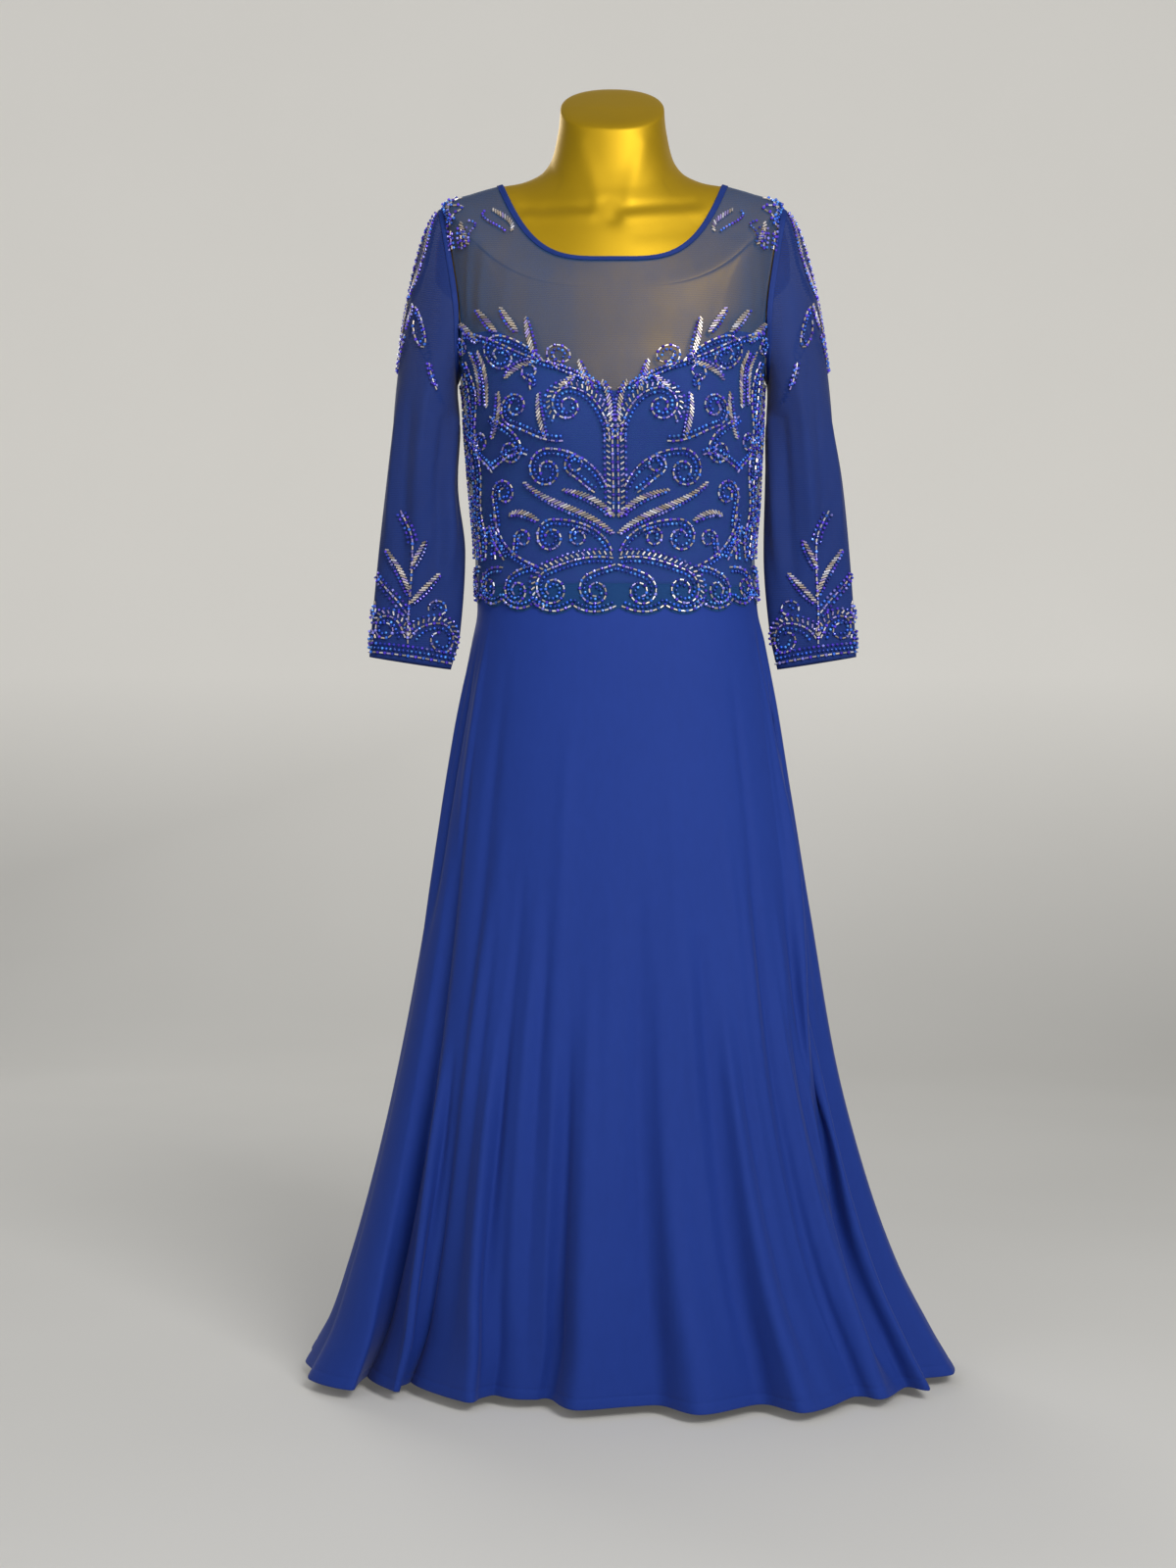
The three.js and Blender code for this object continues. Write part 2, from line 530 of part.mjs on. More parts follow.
// The form: the figure again, a little inside the cloth, with shoulder caps where the arms are cut off.
function formTorso() {
  const bodyLevels = [TORSO_UNDERSIDE, 850, 908, ...LOWER_LEVELS];
  const neckLevels = [YOKE_LEVEL, NECKLINE, 1393, 1400, 1412, 1425, 1445, 1465, 1480];
  const shell = new Shell();
  const place = (angle, level) => {
    const fromSide = Math.abs(Math.abs(angle > 180 ? angle - 360 : angle) - 90);
    const near = (reach) => 1 - clamp(fromSide / reach, 0, 1) ** 2;
    const seat = level > SHOULDER_TIP - 1 && level <= NECKLINE ? SHOULDER_SEAT * near(SHOULDER_SEAT_WIDE) : 0;
    const cap = armholeOpen(level) > 0 ? along(FORM_ROWS, level, "cap") * near(CAP_REACH) : 0;
    const p = movedOut(FIGURE, angle, level, along(FORM_ROWS, level, "out") + seat + cap);
    return level === TORSO_UNDERSIDE ? point(p.x, p.y, TORSO_UNDERSIDE) : p;
  };
  const halfRound = (level) => [
    ...spread(0, frontEdge(level), BODICE_COLUMNS / 4).slice(0, -1),
    ...spread(frontEdge(level), backEdge(level), 4).slice(0, -1),
    ...spread(backEdge(level), 180, BACK_COLUMNS / 2),
  ];
  const ring = (level) => {
    const half = halfRound(level);
    const other = half.slice(1, -1).reverse();
    return [...half, ...other.map((angle) => 360 - angle)].map((angle) => place(angle, level));
  };
  const shoulderLevels = armholeLevels.map((level) => clamp(level, ARMPIT + 0.1, SHOULDER_TIP - 0.1));
  const rings = [...bodyLevels, ...shoulderLevels, ...neckLevels].map(ring);
  const top = rings.at(-1);
  const middle = top.reduce((sum, p) => sum.add(p), point(0, 0, 0)).divideScalar(top.length);
  const lean = point(0, -(top[0].z - middle.z) / (top[0].y - middle.y), 1).normalize();
  for (const dome of [{ scale: 0.93, rise: 3 }, { scale: 0.6, rise: 6 }]) {
    rings.push(top.map((p) => middle.clone().lerp(p, dome.scale).addScaledVector(lean, dome.rise)));
  }
  const rows = rings.map((points) => shell.row(points)).map((row) => [...row, row[0]]);
  rows.slice(1).forEach((row, i) => stitch(rows[i], row, shell.faces));
  const [crown] = shell.row([middle.clone().addScaledVector(lean, 7)]);
  const [under] = shell.row([point(along(RINGS, TORSO_UNDERSIDE, "middle"), 0, TORSO_UNDERSIDE)]);
  rows.at(-1).slice(1).forEach((to, i) => shell.faces.push([rows.at(-1)[i], to, crown]));
  rows[0].slice(1).forEach((to, i) => shell.faces.push([to, rows[0][i], under]));
  return shell.geometry();
}

// A turned part, from its outline as [radius, height] pairs.
function turned(outline, sides) {
  const profile = outline.map(([radius, height]) => new THREE.Vector2(radius, height));
  const made = new THREE.LatheGeometry(profile, sides);
  made.rotateX(Math.PI / 2);
  return made;
}

// The pole, with a collar and a flange that carry the form.
function standPole() {
  const [low, high] = [FOOT.thick + GAP, TORSO_UNDERSIDE - GAP];
  const outline = [
    [0, low],
    [POLE.radius, low],
    [POLE.radius, high - POLE.collarLow - POLE.taper],
    [POLE.collar, high - POLE.collarLow],
    [POLE.collar, high - POLE.collarHigh],
    [POLE.flange, high - POLE.plate],
    [POLE.flange, high],
    [0, high],
  ];
  return turned(outline, 24);
}

// The round foot, with a hub that the pole stands in.
function standFoot() {
  const hub = POLE.radius + GAP;
  const outline = [
    [0, 0],
    [FOOT.radius, 0],
    [FOOT.radius, FOOT.thick - FOOT.edgeDrop],
    [FOOT.radius - FOOT.edge, FOOT.thick],
    [hub + FOOT.flare, FOOT.thick],
    [hub + FOOT.hubWall + 1, FOOT.thick + FOOT.rise],
    [hub + FOOT.hubWall, FOOT.hubHigh],
    [hub, FOOT.hubHigh],
    [hub, FOOT.thick],
    [0, FOOT.thick],
  ];
  return turned(outline, 48);
}

const ZIP_SKIRT_LEVELS = [ZIP_END + 1, 780, 850, 878, 905];
const ZIP_UPPER_LEVELS = [ARMPIT, 1225, 1265, 1305, SHOULDER_TIP, YOKE_LEVEL, ZIP_TOP];

// The closed zip in the middle of the back, from the neck down past the waist.
function backZip() {
  const levels = [...ZIP_SKIRT_LEVELS, ...LOWER_LEVELS, ...ZIP_UPPER_LEVELS];
  const half = (level) => 180 - besideSide(ZIP_WIDTH / 2, level, "half");
  const outer = (level) => (level < WAIST_SEAM ? JERSEY_WALL : ZIP_FACE);
  const rows = levels.map((level) =>
    [half(level), 360 - half(level)].map((angle) => [
      movedOut(FIGURE, angle, level, outer(level)),
      movedOut(FIGURE, angle, level, outer(level) - JERSEY_WALL),
    ]),
  );
  return wall(rows);
}

const solidOf = (geometry) => {
  const position = new Float32Array(geometry.attributes.position.array);
  const corners = new Uint32Array(position.length / 3).map((_, i) => i);
  const mesh = new wasm.Mesh({ numProp: 3, vertProperties: position, triVerts: corners });
  mesh.merge();
  return new wasm.Manifold(mesh);
};

function geometryOf(solid) {
  const { vertProperties, triVerts } = solid.getMesh();
  const made = new THREE.BufferGeometry();
  made.setAttribute("position", new THREE.BufferAttribute(vertProperties, 3));
  made.setIndex(new THREE.BufferAttribute(triVerts, 1));
  made.computeVertexNormals();
  return made;
}

// The zip's slider and pull tab in their own frame: x across, y out from the back, z up along the zip.
const PIVOT_OUT = SLIDER.thick + BRIDGE.opening; // the pull's bar above the slider's underside

// The slider's plate, joined to the bridge that the pull hangs from.
function zipSlider() {
  const { wide, thick, long, above } = SLIDER;
  const plate = new THREE.BoxGeometry(wide, thick, long);
  plate.translate(0, thick / 2, above - long / 2);
  const { half, corner, opening } = BRIDGE;
  const top = thick + BRIDGE.high;
  const under = thick + BRIDGE.openingHigh;
  const path = (pairs) => pairs.map(([across, out]) => new THREE.Vector2(across, out));
  const arch = new THREE.Shape(
    path([
      [-half, thick / 2],
      [half, thick / 2],
      [half, top - corner],
      [half - corner, top],
      [corner - half, top],
      [-half, top - corner],
    ]),
  );
  const hole = path([
    [-opening, thick],
    [-opening, under],
    [opening, under],
    [opening, thick],
  ]);
  arch.holes.push(new THREE.Path(hole));
  const bridge = new THREE.ExtrudeGeometry(arch, { depth: BRIDGE.wide, bevelEnabled: false });
  bridge.translate(0, 0, -BRIDGE.wide / 2).rotateY(-Math.PI / 2);
  return geometryOf(solidOf(plate.toNonIndexed()).add(solidOf(bridge)));
}

// The pull tab, narrow below its eye and wider at its round lower end.
function zipPull() {
  const { thick, bar, half, neck, lowHalf, long, corner } = PULL;
  const outline = new THREE.Shape();
  outline.moveTo(-half, bar);
  outline.lineTo(-half, -EYE.low - thick);
  outline.quadraticCurveTo(-neck, -EYE.low - corner, -lowHalf, corner - long);
  outline.quadraticCurveTo(-lowHalf, -long, 0, -long);
  outline.quadraticCurveTo(lowHalf, -long, lowHalf, corner - long);
  outline.quadraticCurveTo(neck, -EYE.low - corner, half, -EYE.low - thick);
  outline.lineTo(half, bar);
  const eye = new THREE.Path();
  eye.moveTo(-EYE.half, -bar);
  eye.lineTo(-EYE.half, -EYE.low);
  eye.lineTo(EYE.half, -EYE.low);
  eye.lineTo(EYE.half, -bar);
  outline.holes.push(eye);
  const made = new THREE.ExtrudeGeometry(outline, { depth: thick, bevelEnabled: false, curveSegments: 5 });
  return made.translate(0, 0, -thick / 2).rotateX(Math.PI / 2);
}

function mesh(name, geometry, finish) {
  const made = new THREE.Mesh(geometry, new THREE.MeshStandardMaterial(COLOURS[finish]));
  made.name = name;
  return made;
}

const gown = new THREE.Group();
gown.name = "gown_on_dress_form";

const stand = new THREE.Group();
stand.add(mesh("form_torso", formTorso(), "gold"));
stand.add(mesh("stand_pole", standPole(), "steel"));
stand.add(mesh("stand_foot", standFoot(), "steel"));
gown.add(stand);

const bodice = new THREE.Group();
const PANELS = { front: "front", backLeft: "back_left", backRight: "back_right" };
for (const [span, name] of Object.entries(PANELS)) {
  bodice.add(mesh("bodice_" + name, meshBodice(span), "mesh"));
  bodice.add(mesh("underbodice_" + name, underBodice(span), "jersey"));
  bodice.add(mesh("neck_binding_" + name, neckBinding(span), "binding"));
}
gown.add(bodice);

for (const [span, name] of Object.entries(PANELS)) {
  gown.add(mesh("skirt_" + name, skirtPanel(span), "jersey"));
}

for (const [name, side] of Object.entries({ left: -1, right: 1 })) {
  gown.add(mesh("sleeve_" + name, sleeve(side), "mesh"));
  gown.add(mesh("armhole_binding_" + name, armholeBinding(side), "binding"));
}

// The zip's hard pieces stand on the zip's outer face near its top end.
const fastening = new THREE.Group();
const [zipBelow, zipTop] = [YOKE_LEVEL, ZIP_TOP].map((level) => movedOut(FIGURE, 180, level, ZIP_FACE + GAP));
fastening.position.lerpVectors(zipBelow, zipTop, SLIDER_PLACE);
fastening.rotation.x = Math.atan2(zipBelow.y - zipTop.y, zipTop.z - zipBelow.z);
gown.add(mesh("back_zip", backZip(), "zip"));
fastening.add(mesh("zip_slider", zipSlider(), "zip"));
const pull = mesh("zip_pull", zipPull(), "zip");
pull.position.y = PIVOT_OUT;
fastening.add(pull);
gown.add(fastening);

export default gown;
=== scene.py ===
# A floor-length evening gown with a sheer beaded bodice and sleeves, on a limbless gold dress form.
# Sizes are in millimetres, as a dressmaker measures, and every mesh is made in metres. The front faces -Y.
import math

import bpy
import numpy as np
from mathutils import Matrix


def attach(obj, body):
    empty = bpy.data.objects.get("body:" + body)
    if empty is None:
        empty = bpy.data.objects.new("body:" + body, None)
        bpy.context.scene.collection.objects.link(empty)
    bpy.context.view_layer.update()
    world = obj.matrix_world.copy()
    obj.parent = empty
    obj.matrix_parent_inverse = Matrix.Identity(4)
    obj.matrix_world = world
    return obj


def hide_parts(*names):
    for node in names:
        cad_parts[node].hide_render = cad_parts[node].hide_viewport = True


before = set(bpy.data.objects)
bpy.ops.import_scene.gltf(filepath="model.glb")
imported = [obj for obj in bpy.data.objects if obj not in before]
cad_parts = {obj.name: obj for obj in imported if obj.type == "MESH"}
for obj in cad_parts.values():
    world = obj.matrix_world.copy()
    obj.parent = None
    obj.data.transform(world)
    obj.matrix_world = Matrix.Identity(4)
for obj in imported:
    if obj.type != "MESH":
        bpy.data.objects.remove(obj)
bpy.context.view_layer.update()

MM = 0.001
rng = np.random.default_rng(1120)

# The gown's driving sizes
HEM_HEIGHT = 12
HEM_TURNED = 12  # how far the skirt's hem is turned up
WAIST_SEAM = 929.85
ARMPIT = 1185
SHOULDER_TIP = 1329
NECKLINE = 1385
NECK_TOP = 1480
NECK_BINDING_SHOWN = 5.2
ARMHOLE_BINDING_WIDTH = 8
ARMHOLE_FRONT = 29
ARMHOLE_BACK = 27
ARMHOLE_CLEAR = 1.8
ROUNDNESS = 0.9
TORSO_UNDERSIDE = 780
ZIP_END = 760
ZIP_HALF = 2.5
SEAM_GAP = 0.1
MESH_OUT = 2.4  # how far each layer lies from the figure
UNDER_OUT = -0.7
SKIRT_OUT = 1.3
CLOTH = 0.8  # the jersey's thickness
SIDE_LEVEL = 945  # above it the side seams of the bodice follow its rings one by one
SHOULDER_SEAM = 1333  # where the shoulder seams start beside the armholes


class Table:
    """A table with named columns, read between its rows on smooth curves that never overshoot them."""

    def __init__(self, names, rows):
        self.columns = dict(zip(names.split(), np.array(rows, float).T))
        self.at = self.columns["at"]
        self.tangents = {name: self.slopes(values) for name, values in self.columns.items()}

    def slopes(self, values):
        width = np.diff(self.at)
        slope = np.diff(values) / width
        before, after = slope[:-1], slope[1:]
        heavy, light = 2 * width[1:] + width[:-1], width[1:] + 2 * width[:-1]
        rising = before * after > 0
        steep = np.where(rising, heavy * after + light * before, 1)
        inner = np.where(rising, (heavy + light) * before * after / steep, 0)
        return np.concatenate([slope[:1], inner, slope[-1:]])

    def __call__(self, name, at):
        i = np.clip(np.searchsorted(self.at, at, side="right") - 1, 0, len(self.at) - 2)
        values, tangent = self.columns[name], self.tangents[name]
        width = self.at[i + 1] - self.at[i]
        t = np.clip((at - self.at[i]) / width, 0, 1)
        start = values[i] * (1 + 2 * t) * (1 - t) ** 2 + width * tangent[i] * t * (1 - t) ** 2
        return start + values[i + 1] * t * t * (3 - 2 * t) - width * tangent[i + 1] * t * t * (1 - t)


# Level rings of the figure that the cloth follows, then the rings over the shoulders and up the neck.
LEVEL_RINGS = [
    [12, 17, 383, 208, 186],
    [61, 16, 355, 205, 183],
    [135, 10, 323, 200, 178],
    [238, 6, 290, 190, 170],
    [373, 4, 257, 175, 158],
    [551, 6, 226, 155, 142],
    [687, 6, 205, 140, 130],
    [803, 7, 186, 127, 117],
    [870, 7, 173, 118, 106],
    [908, 6, 165.5, 112, 98],
    [976, 3, 164, 106, 92],
    [1028, 3, 168, 112, 95],
    [1075, 2, 171, 119, 99],
    [1120, 1.5, 174, 122, 102],
    [1160, 1, 175.5, 119.5, 104],
    [1185, 0, 180, 116.5, 105],
]
SADDLE_RINGS = [
    [1210, 0, 189, 114, 106, 1207, 1198, 1207, 2.3, 0],
    [1235, 0, 197, 112, 106, 1240, 1214, 1228, 2.5, 0],
    [1285, 0, 201, 107, 104, 1312, 1246, 1272, 2.7, 0],
    [1329, 0, 199, 103, 92, 1388, 1272, 1312, 2.8, 0],
    [1357, 0, 165, 99, 78, 1402, 1289, 1342, 3.2, 0],
    [1385, 0, 130, 95, 63, 1412, 1307, 1370, 3.3, 0],
    [1400, 0, 104, 86, 60, 1419, 1340, 1393, 3.4, 0.3],
    [1412, 0, 84, 74, 59, 1429, 1368, 1411, 3, 0.6],
    [1425, 0, 72, 63, 59, 1446, 1396, 1432, 3, 1],
    [1445, 0, 66, 57, 58, 1470, 1425, 1464, 3, 1],
    [1465, 0, 63, 55, 58, 1490, 1447, 1508, 3, 1],
    [1480, 0, 62, 54, 58, 1506, 1464, 1548, 3, 1],
]
RINGS = Table(
    "at middle half front back side fore aft bow plane",
    [ring + [ring[0]] * 3 + [2.2, 0] for ring in LEVEL_RINGS] + SADDLE_RINGS,
)
CUP_OUT, CUP_LEVEL, CUP_TALL, CUP_ANGLE, CUP_WIDE = 14, 1122, 48, 28, 17

# The skirt's fold lines: the angle at the waist, at the hem, how far the hem lies out there, the height
# where the fold starts and how it grows on the way down.
FOLDS = Table(
    "at hem out from ease",
    [
        [-90, -90, 0, 900, 1.5],
        [-81, -80, -9, 850, 0.8],
        [-73, -70, 6, 760, 1.3],
        [-64, -54, -5, 760, 1.5],
        [-57, -63, -56, 780, 1.5],
        [-50, -44, -27, 560, 1.5],
        [-42, -46, -70, 520, 1.8],
        [-31, -26, -16, 480, 1.7],
        [-24, -22.5, -50, 440, 1.9],
        [-18, -17, -36, 440, 1.6],
        [-12, -13, -45, 450, 1.5],
        [-5, -7, -2, 450, 1.5],
        [3, 3, -22, 520, 1.5],
        [10, 9.5, 17, 520, 1.5],
        [19, 20, -15, 400, 1.3],
        [28, 27, 27, 500, 1.5],
        [38, 40.5, -13, 470, 1.2],
        [46, 45, 9, 450, 1.5],
        [54, 56, -12, 450, 1.3],
        [61, 58.5, 14, 820, 1.2],
        [69, 67, -18, 880, 0.6],
        [78, 77, 7, 880, 0.8],
        [90, 90, 0, 900, 1],
        [99, 100, -14, 800, 1],
        [108, 107, 15, 640, 1.4],
        [118, 119, -24, 580, 1.5],
        [128, 127, 15, 560, 1.5],
        [137, 138, -20, 500, 1.4],
        [147, 146, 18, 480, 1.5],
        [156, 157, -22, 460, 1.6],
        [166, 165, 14, 520, 1.5],
        [173, 174, -13, 600, 1.4],
        [180, 180, 5, 640, 1.4],
        [187, 186, -15, 620, 1.4],
        [196, 197, 14, 470, 1.5],
        [205, 204, -24, 450, 1.6],
        [215, 216, 17, 520, 1.5],
        [225, 224, -21, 540, 1.4],
        [235, 236, 15, 600, 1.5],
        [245, 244, -26, 620, 1.5],
        [254, 255, 12, 720, 1.3],
        [262, 261, -13, 800, 1],
        [270, 270, 0, 900, 1.5],
    ],
)
# Lesser creases of the skirt: where they lie at their top and foot, their heights, depth and width.
SKIRT_CREASES = [
    {"top": -78, "foot": -76, "high": 900, "low": 420, "out": 4.1, "wide": 2.4},
    {"top": -69, "foot": -71, "high": 880, "low": 500, "out": -3.7, "wide": 2.0},
    {"top": -61, "foot": -58, "high": 900, "low": 560, "out": 3.1, "wide": 2.6},
    {"top": -44, "foot": -41, "high": 860, "low": 330, "out": -2.9, "wide": 3.0},
    {"top": -36, "foot": -35, "high": 700, "low": 120, "out": 3.7, "wide": 2.6},
    {"top": -27, "foot": -28, "high": 640, "low": 60, "out": -3.1, "wide": 1.8},
    {"top": -15, "foot": -15, "high": 820, "low": 300, "out": 2, "wide": 2.8},
    {"top": -2, "foot": -1, "high": 620, "low": 90, "out": 2.7, "wide": 2.4},
    {"top": 7, "foot": 6, "high": 560, "low": 30, "out": -2.7, "wide": 1.6},
    {"top": 15, "foot": 14, "high": 780, "low": 260, "out": 2.4, "wide": 3.0},
    {"top": 24, "foot": 23, "high": 500, "low": 40, "out": -2.9, "wide": 1.6},
    {"top": 33, "foot": 33, "high": 700, "low": 120, "out": 3.1, "wide": 2.2},
    {"top": 43, "foot": 42, "high": 860, "low": 380, "out": -2.5, "wide": 2.4},
    {"top": 51, "foot": 50, "high": 600, "low": 60, "out": 3.4, "wide": 1.8},
    {"top": 65, "foot": 63, "high": 900, "low": 240, "out": 4.4, "wide": 1.5},
    {"top": 73, "foot": 72, "high": 905, "low": 300, "out": 4.8, "wide": 1.6},
    {"top": 80, "foot": 47, "high": 985, "low": -60, "out": -17, "wide": 2.1},
    {"top": 75.5, "foot": 42.5, "high": 960, "low": -60, "out": 8, "wide": 2.4},
    {"top": 67.5, "foot": 70, "high": 900, "low": -60, "out": 4, "wide": 2},
    {"top": -39.5, "foot": -39, "high": 640, "low": -80, "out": 4.5, "wide": 2.1},
    {"top": -35.5, "foot": -35.5, "high": 640, "low": -80, "out": -5, "wide": 1.8},
    {"top": -22, "foot": -21.5, "high": 610, "low": -80, "out": 4, "wide": 2.0},
    {"top": -18, "foot": -18, "high": 610, "low": -80, "out": -4.5, "wide": 1.8},
    {"top": -6, "foot": -6, "high": 560, "low": -80, "out": 3.6, "wide": 1.8},
    {"top": 4.5, "foot": 4, "high": 640, "low": -80, "out": -4.5, "wide": 1.9},
    {"top": 17, "foot": 17, "high": 600, "low": -80, "out": 3.6, "wide": 1.9},
    {"top": 21, "foot": 21.5, "high": 600, "low": -80, "out": -4.5, "wide": 1.9},
    {"top": 37, "foot": 37.5, "high": 660, "low": -80, "out": 4.5, "wide": 2.0},
    {"top": 41, "foot": 41.5, "high": 660, "low": -80, "out": -5, "wide": 1.8},
    {"top": 56, "foot": 56, "high": 620, "low": -80, "out": -5, "wide": 1.9},
    {"top": -50, "foot": -50, "high": 430, "low": -80, "out": 5.4, "wide": 1.5},
    {"top": -46.5, "foot": -47, "high": 430, "low": -80, "out": -6.8, "wide": 1.4},
    {"top": -31, "foot": -31, "high": 460, "low": -80, "out": 5.4, "wide": 1.4},
    {"top": -27.5, "foot": -28, "high": 460, "low": -80, "out": -6.1, "wide": 1.4},
    {"top": -14, "foot": -14, "high": 470, "low": -80, "out": 4.4, "wide": 1.4},
    {"top": -10.5, "foot": -10.5, "high": 470, "low": -80, "out": -5.8, "wide": 1.4},
    {"top": 27, "foot": 27, "high": 480, "low": -80, "out": 5.1, "wide": 1.5},
    {"top": 31, "foot": 31, "high": 480, "low": -80, "out": -5.1, "wide": 1.5},
    {"top": 47, "foot": 47, "high": 520, "low": -80, "out": 5.4, "wide": 1.5},
    {"top": 51, "foot": 51.5, "high": 520, "low": -80, "out": -6.1, "wide": 1.5},
    {"top": 84, "foot": 84, "high": 880, "low": 420, "out": -3.4, "wide": 2.2},
    {"top": 95, "foot": 94, "high": 860, "low": 300, "out": 3.4, "wide": 2.0},
    {"top": 113, "foot": 112, "high": 800, "low": 360, "out": -3.4, "wide": 2.4},
    {"top": 132, "foot": 133, "high": 760, "low": 120, "out": 3.7, "wide": 2.2},
    {"top": 151, "foot": 150, "high": 820, "low": 260, "out": -3.1, "wide": 2.6},
    {"top": 170, "foot": 171, "high": 700, "low": 90, "out": 2.9, "wide": 2.0},
    {"top": 192, "foot": 191, "high": 740, "low": 140, "out": -3.1, "wide": 2.2},
    {"top": 210, "foot": 211, "high": 840, "low": 320, "out": 3.6, "wide": 2.8},
    {"top": 230, "foot": 229, "high": 780, "low": 180, "out": -3.7, "wide": 2.2},
    {"top": 250, "foot": 251, "high": 860, "low": 400, "out": 3.9, "wide": 2.0},
]

# The arm of each sleeve, from where it leaves the head to the cuff: how far out its outer and inner edges lie
# and how high, then half its depth and its place from front to back.
SLEEVE_SECTIONS = Table(
    "at outLeft inLeft outRight inRight outZ inZ deep y",
    [
        [0, 261, 182, 262, 184, 1130, 1130, 50, -2],
        [0.25, 269, 184, 274, 182, 1060, 1060, 42, -4],
        [0.55, 278, 175, 282, 180, 978, 975, 30, -7],
        [0.86, 286, 181, 288, 187, 890, 880, 20, -10],
        [1, 289, 192, 290, 196, 852, 837, 16, -11],
    ],
)
# Drag folds of the sleeves: where they start and end round and down the sleeve, their height and width.
SLEEVE_CREASES = [
    {"top": 0.05, "foot": 0.14, "high": 0.75, "low": 1.75, "out": 5.4, "wide": 0.030},
    {"top": 0.14, "foot": 0.20, "high": 0.85, "low": 1.90, "out": -4.2, "wide": 0.026},
    {"top": 0.24, "foot": 0.27, "high": 0.55, "low": 1.70, "out": 3.7, "wide": 0.028},
    {"top": 0.33, "foot": 0.31, "high": 0.70, "low": 1.95, "out": -3.5, "wide": 0.030},
    {"top": 0.41, "foot": 0.40, "high": 0.80, "low": 1.60, "out": 3.2, "wide": 0.024},
    {"top": 0.60, "foot": 0.62, "high": 0.60, "low": 1.80, "out": -3.2, "wide": 0.030},
    {"top": 0.70, "foot": 0.72, "high": 0.75, "low": 1.65, "out": 4.2, "wide": 0.030},
    {"top": 0.82, "foot": 0.80, "high": 0.70, "low": 1.90, "out": -4.2, "wide": 0.028},
    {"top": 0.93, "foot": 0.88, "high": 0.80, "low": 1.70, "out": 4.8, "wide": 0.030},
]
# Soft folds of the sheer yoke, which hang from the neck and the shoulders.
YOKE_FOLDS = [
    {"top": 46, "foot": 52, "high": 1372, "low": 1215, "out": 2.2, "wide": 2.2},
    {"top": 55, "foot": 57, "high": 1368, "low": 1225, "out": 1.6, "wide": 1.6},
    {"top": -44, "foot": -50, "high": 1372, "low": 1215, "out": 2.4, "wide": 2.4},
    {"top": -53, "foot": -56, "high": 1365, "low": 1225, "out": 1.8, "wide": 1.6},
    {"top": -33, "foot": -37, "high": 1376, "low": 1250, "out": 1.5, "wide": 2.6},
    {"top": 36, "foot": 39, "high": 1376, "low": 1240, "out": 1.4, "wide": 2.4},
    {"top": 16, "foot": 14, "high": 1372, "low": 1290, "out": 0.9, "wide": 3.0},
    {"top": -12, "foot": -14, "high": 1372, "low": 1280, "out": 0.9, "wide": 3.2},
    {"top": 128, "foot": 125, "high": 1370, "low": 1215, "out": 1.8, "wide": 2.2},
    {"top": 232, "foot": 236, "high": 1370, "low": 1215, "out": 1.8, "wide": 2.2},
    {"top": 150, "foot": 148, "high": 1372, "low": 1240, "out": 1.1, "wide": 3.0},
    {"top": 211, "foot": 213, "high": 1372, "low": 1240, "out": 1.1, "wide": 3.0},
]

# How high the sweetheart edge runs, by the distance from the middle of the front
SWEETHEART = Table(
    "at height",
    [[0, 1148], [20, 1157], [45, 1171], [82, 1187], [120, 1216], [142, 1225], [200, 1224]],
)
# How far the form lies out of the figure at each level, and its shoulder caps
FORM_ROWS = Table(
    "at out cap",
    [
        [780, -10, 0],
        [976, -10, 0],
        [1120, -4.5, 0],
        [1185, -5.5, -8],
        [1234, -5.5, -24],
        [1257, -3, -16],
        [1279, -2, 13],
        [1299, -1.2, 11],
        [1314, -1, 3],
        [1324, -1.2, -2.5],
        [1329, -0.6, 0],
        [1357, 0.2, 0],
        [1385, 0.4, 0],
        [1400, 0.4, 0],
        [1480, 0, 0],
    ],
)
SHOULDER_SEAT, SHOULDER_SEAT_WIDE = 1.2, 26  # the form's rise under the shoulder seams


FADE_IN, FADE_OUT = 0.3, 0.35  # the shares of its length over which a crease grows and fades


def smooth(t):
    t = np.clip(t, 0, 1)
    return t * t * (3 - 2 * t)


def creases(rows, a, b):
    """The height of soft creases that run from high to low, at a place a round and b up the cloth."""
    total = np.zeros(np.broadcast(a, b).shape)
    for row in rows:
        run = (b - row["high"]) / (row["low"] - row["high"])
        middle = row["top"] + (row["foot"] - row["top"]) * np.clip(run, 0, 1)
        window = smooth(run / FADE_IN) * smooth((1 - run) / FADE_OUT)
        total = total + row["out"] * np.exp(-(((a - middle) / row["wide"]) ** 2)) * window
    return total


class Surface:
    """A surface that two numbers give, such as an angle and a level, with an outward side and a relief."""

    def __init__(self, at, step_a, step_b, outward=1, relief=None):
        self.at, self.step_a, self.step_b = at, step_a, step_b
        self.outward, self.relief = outward, relief

    def normal(self, a, b):
        along_a = self.at(a + self.step_a, b) - self.at(a - self.step_a, b)
        along_b = self.at(a, b + self.step_b) - self.at(a, b - self.step_b)
        across = np.cross(along_a, along_b)
        return self.outward * across / np.linalg.norm(across, axis=-1, keepdims=True)

    def out(self, a, b, out=0):
        lift = out + (self.relief(a, b) if self.relief else 0)
        return self.at(a, b) + self.normal(a, b) * np.asarray(lift)[..., None]


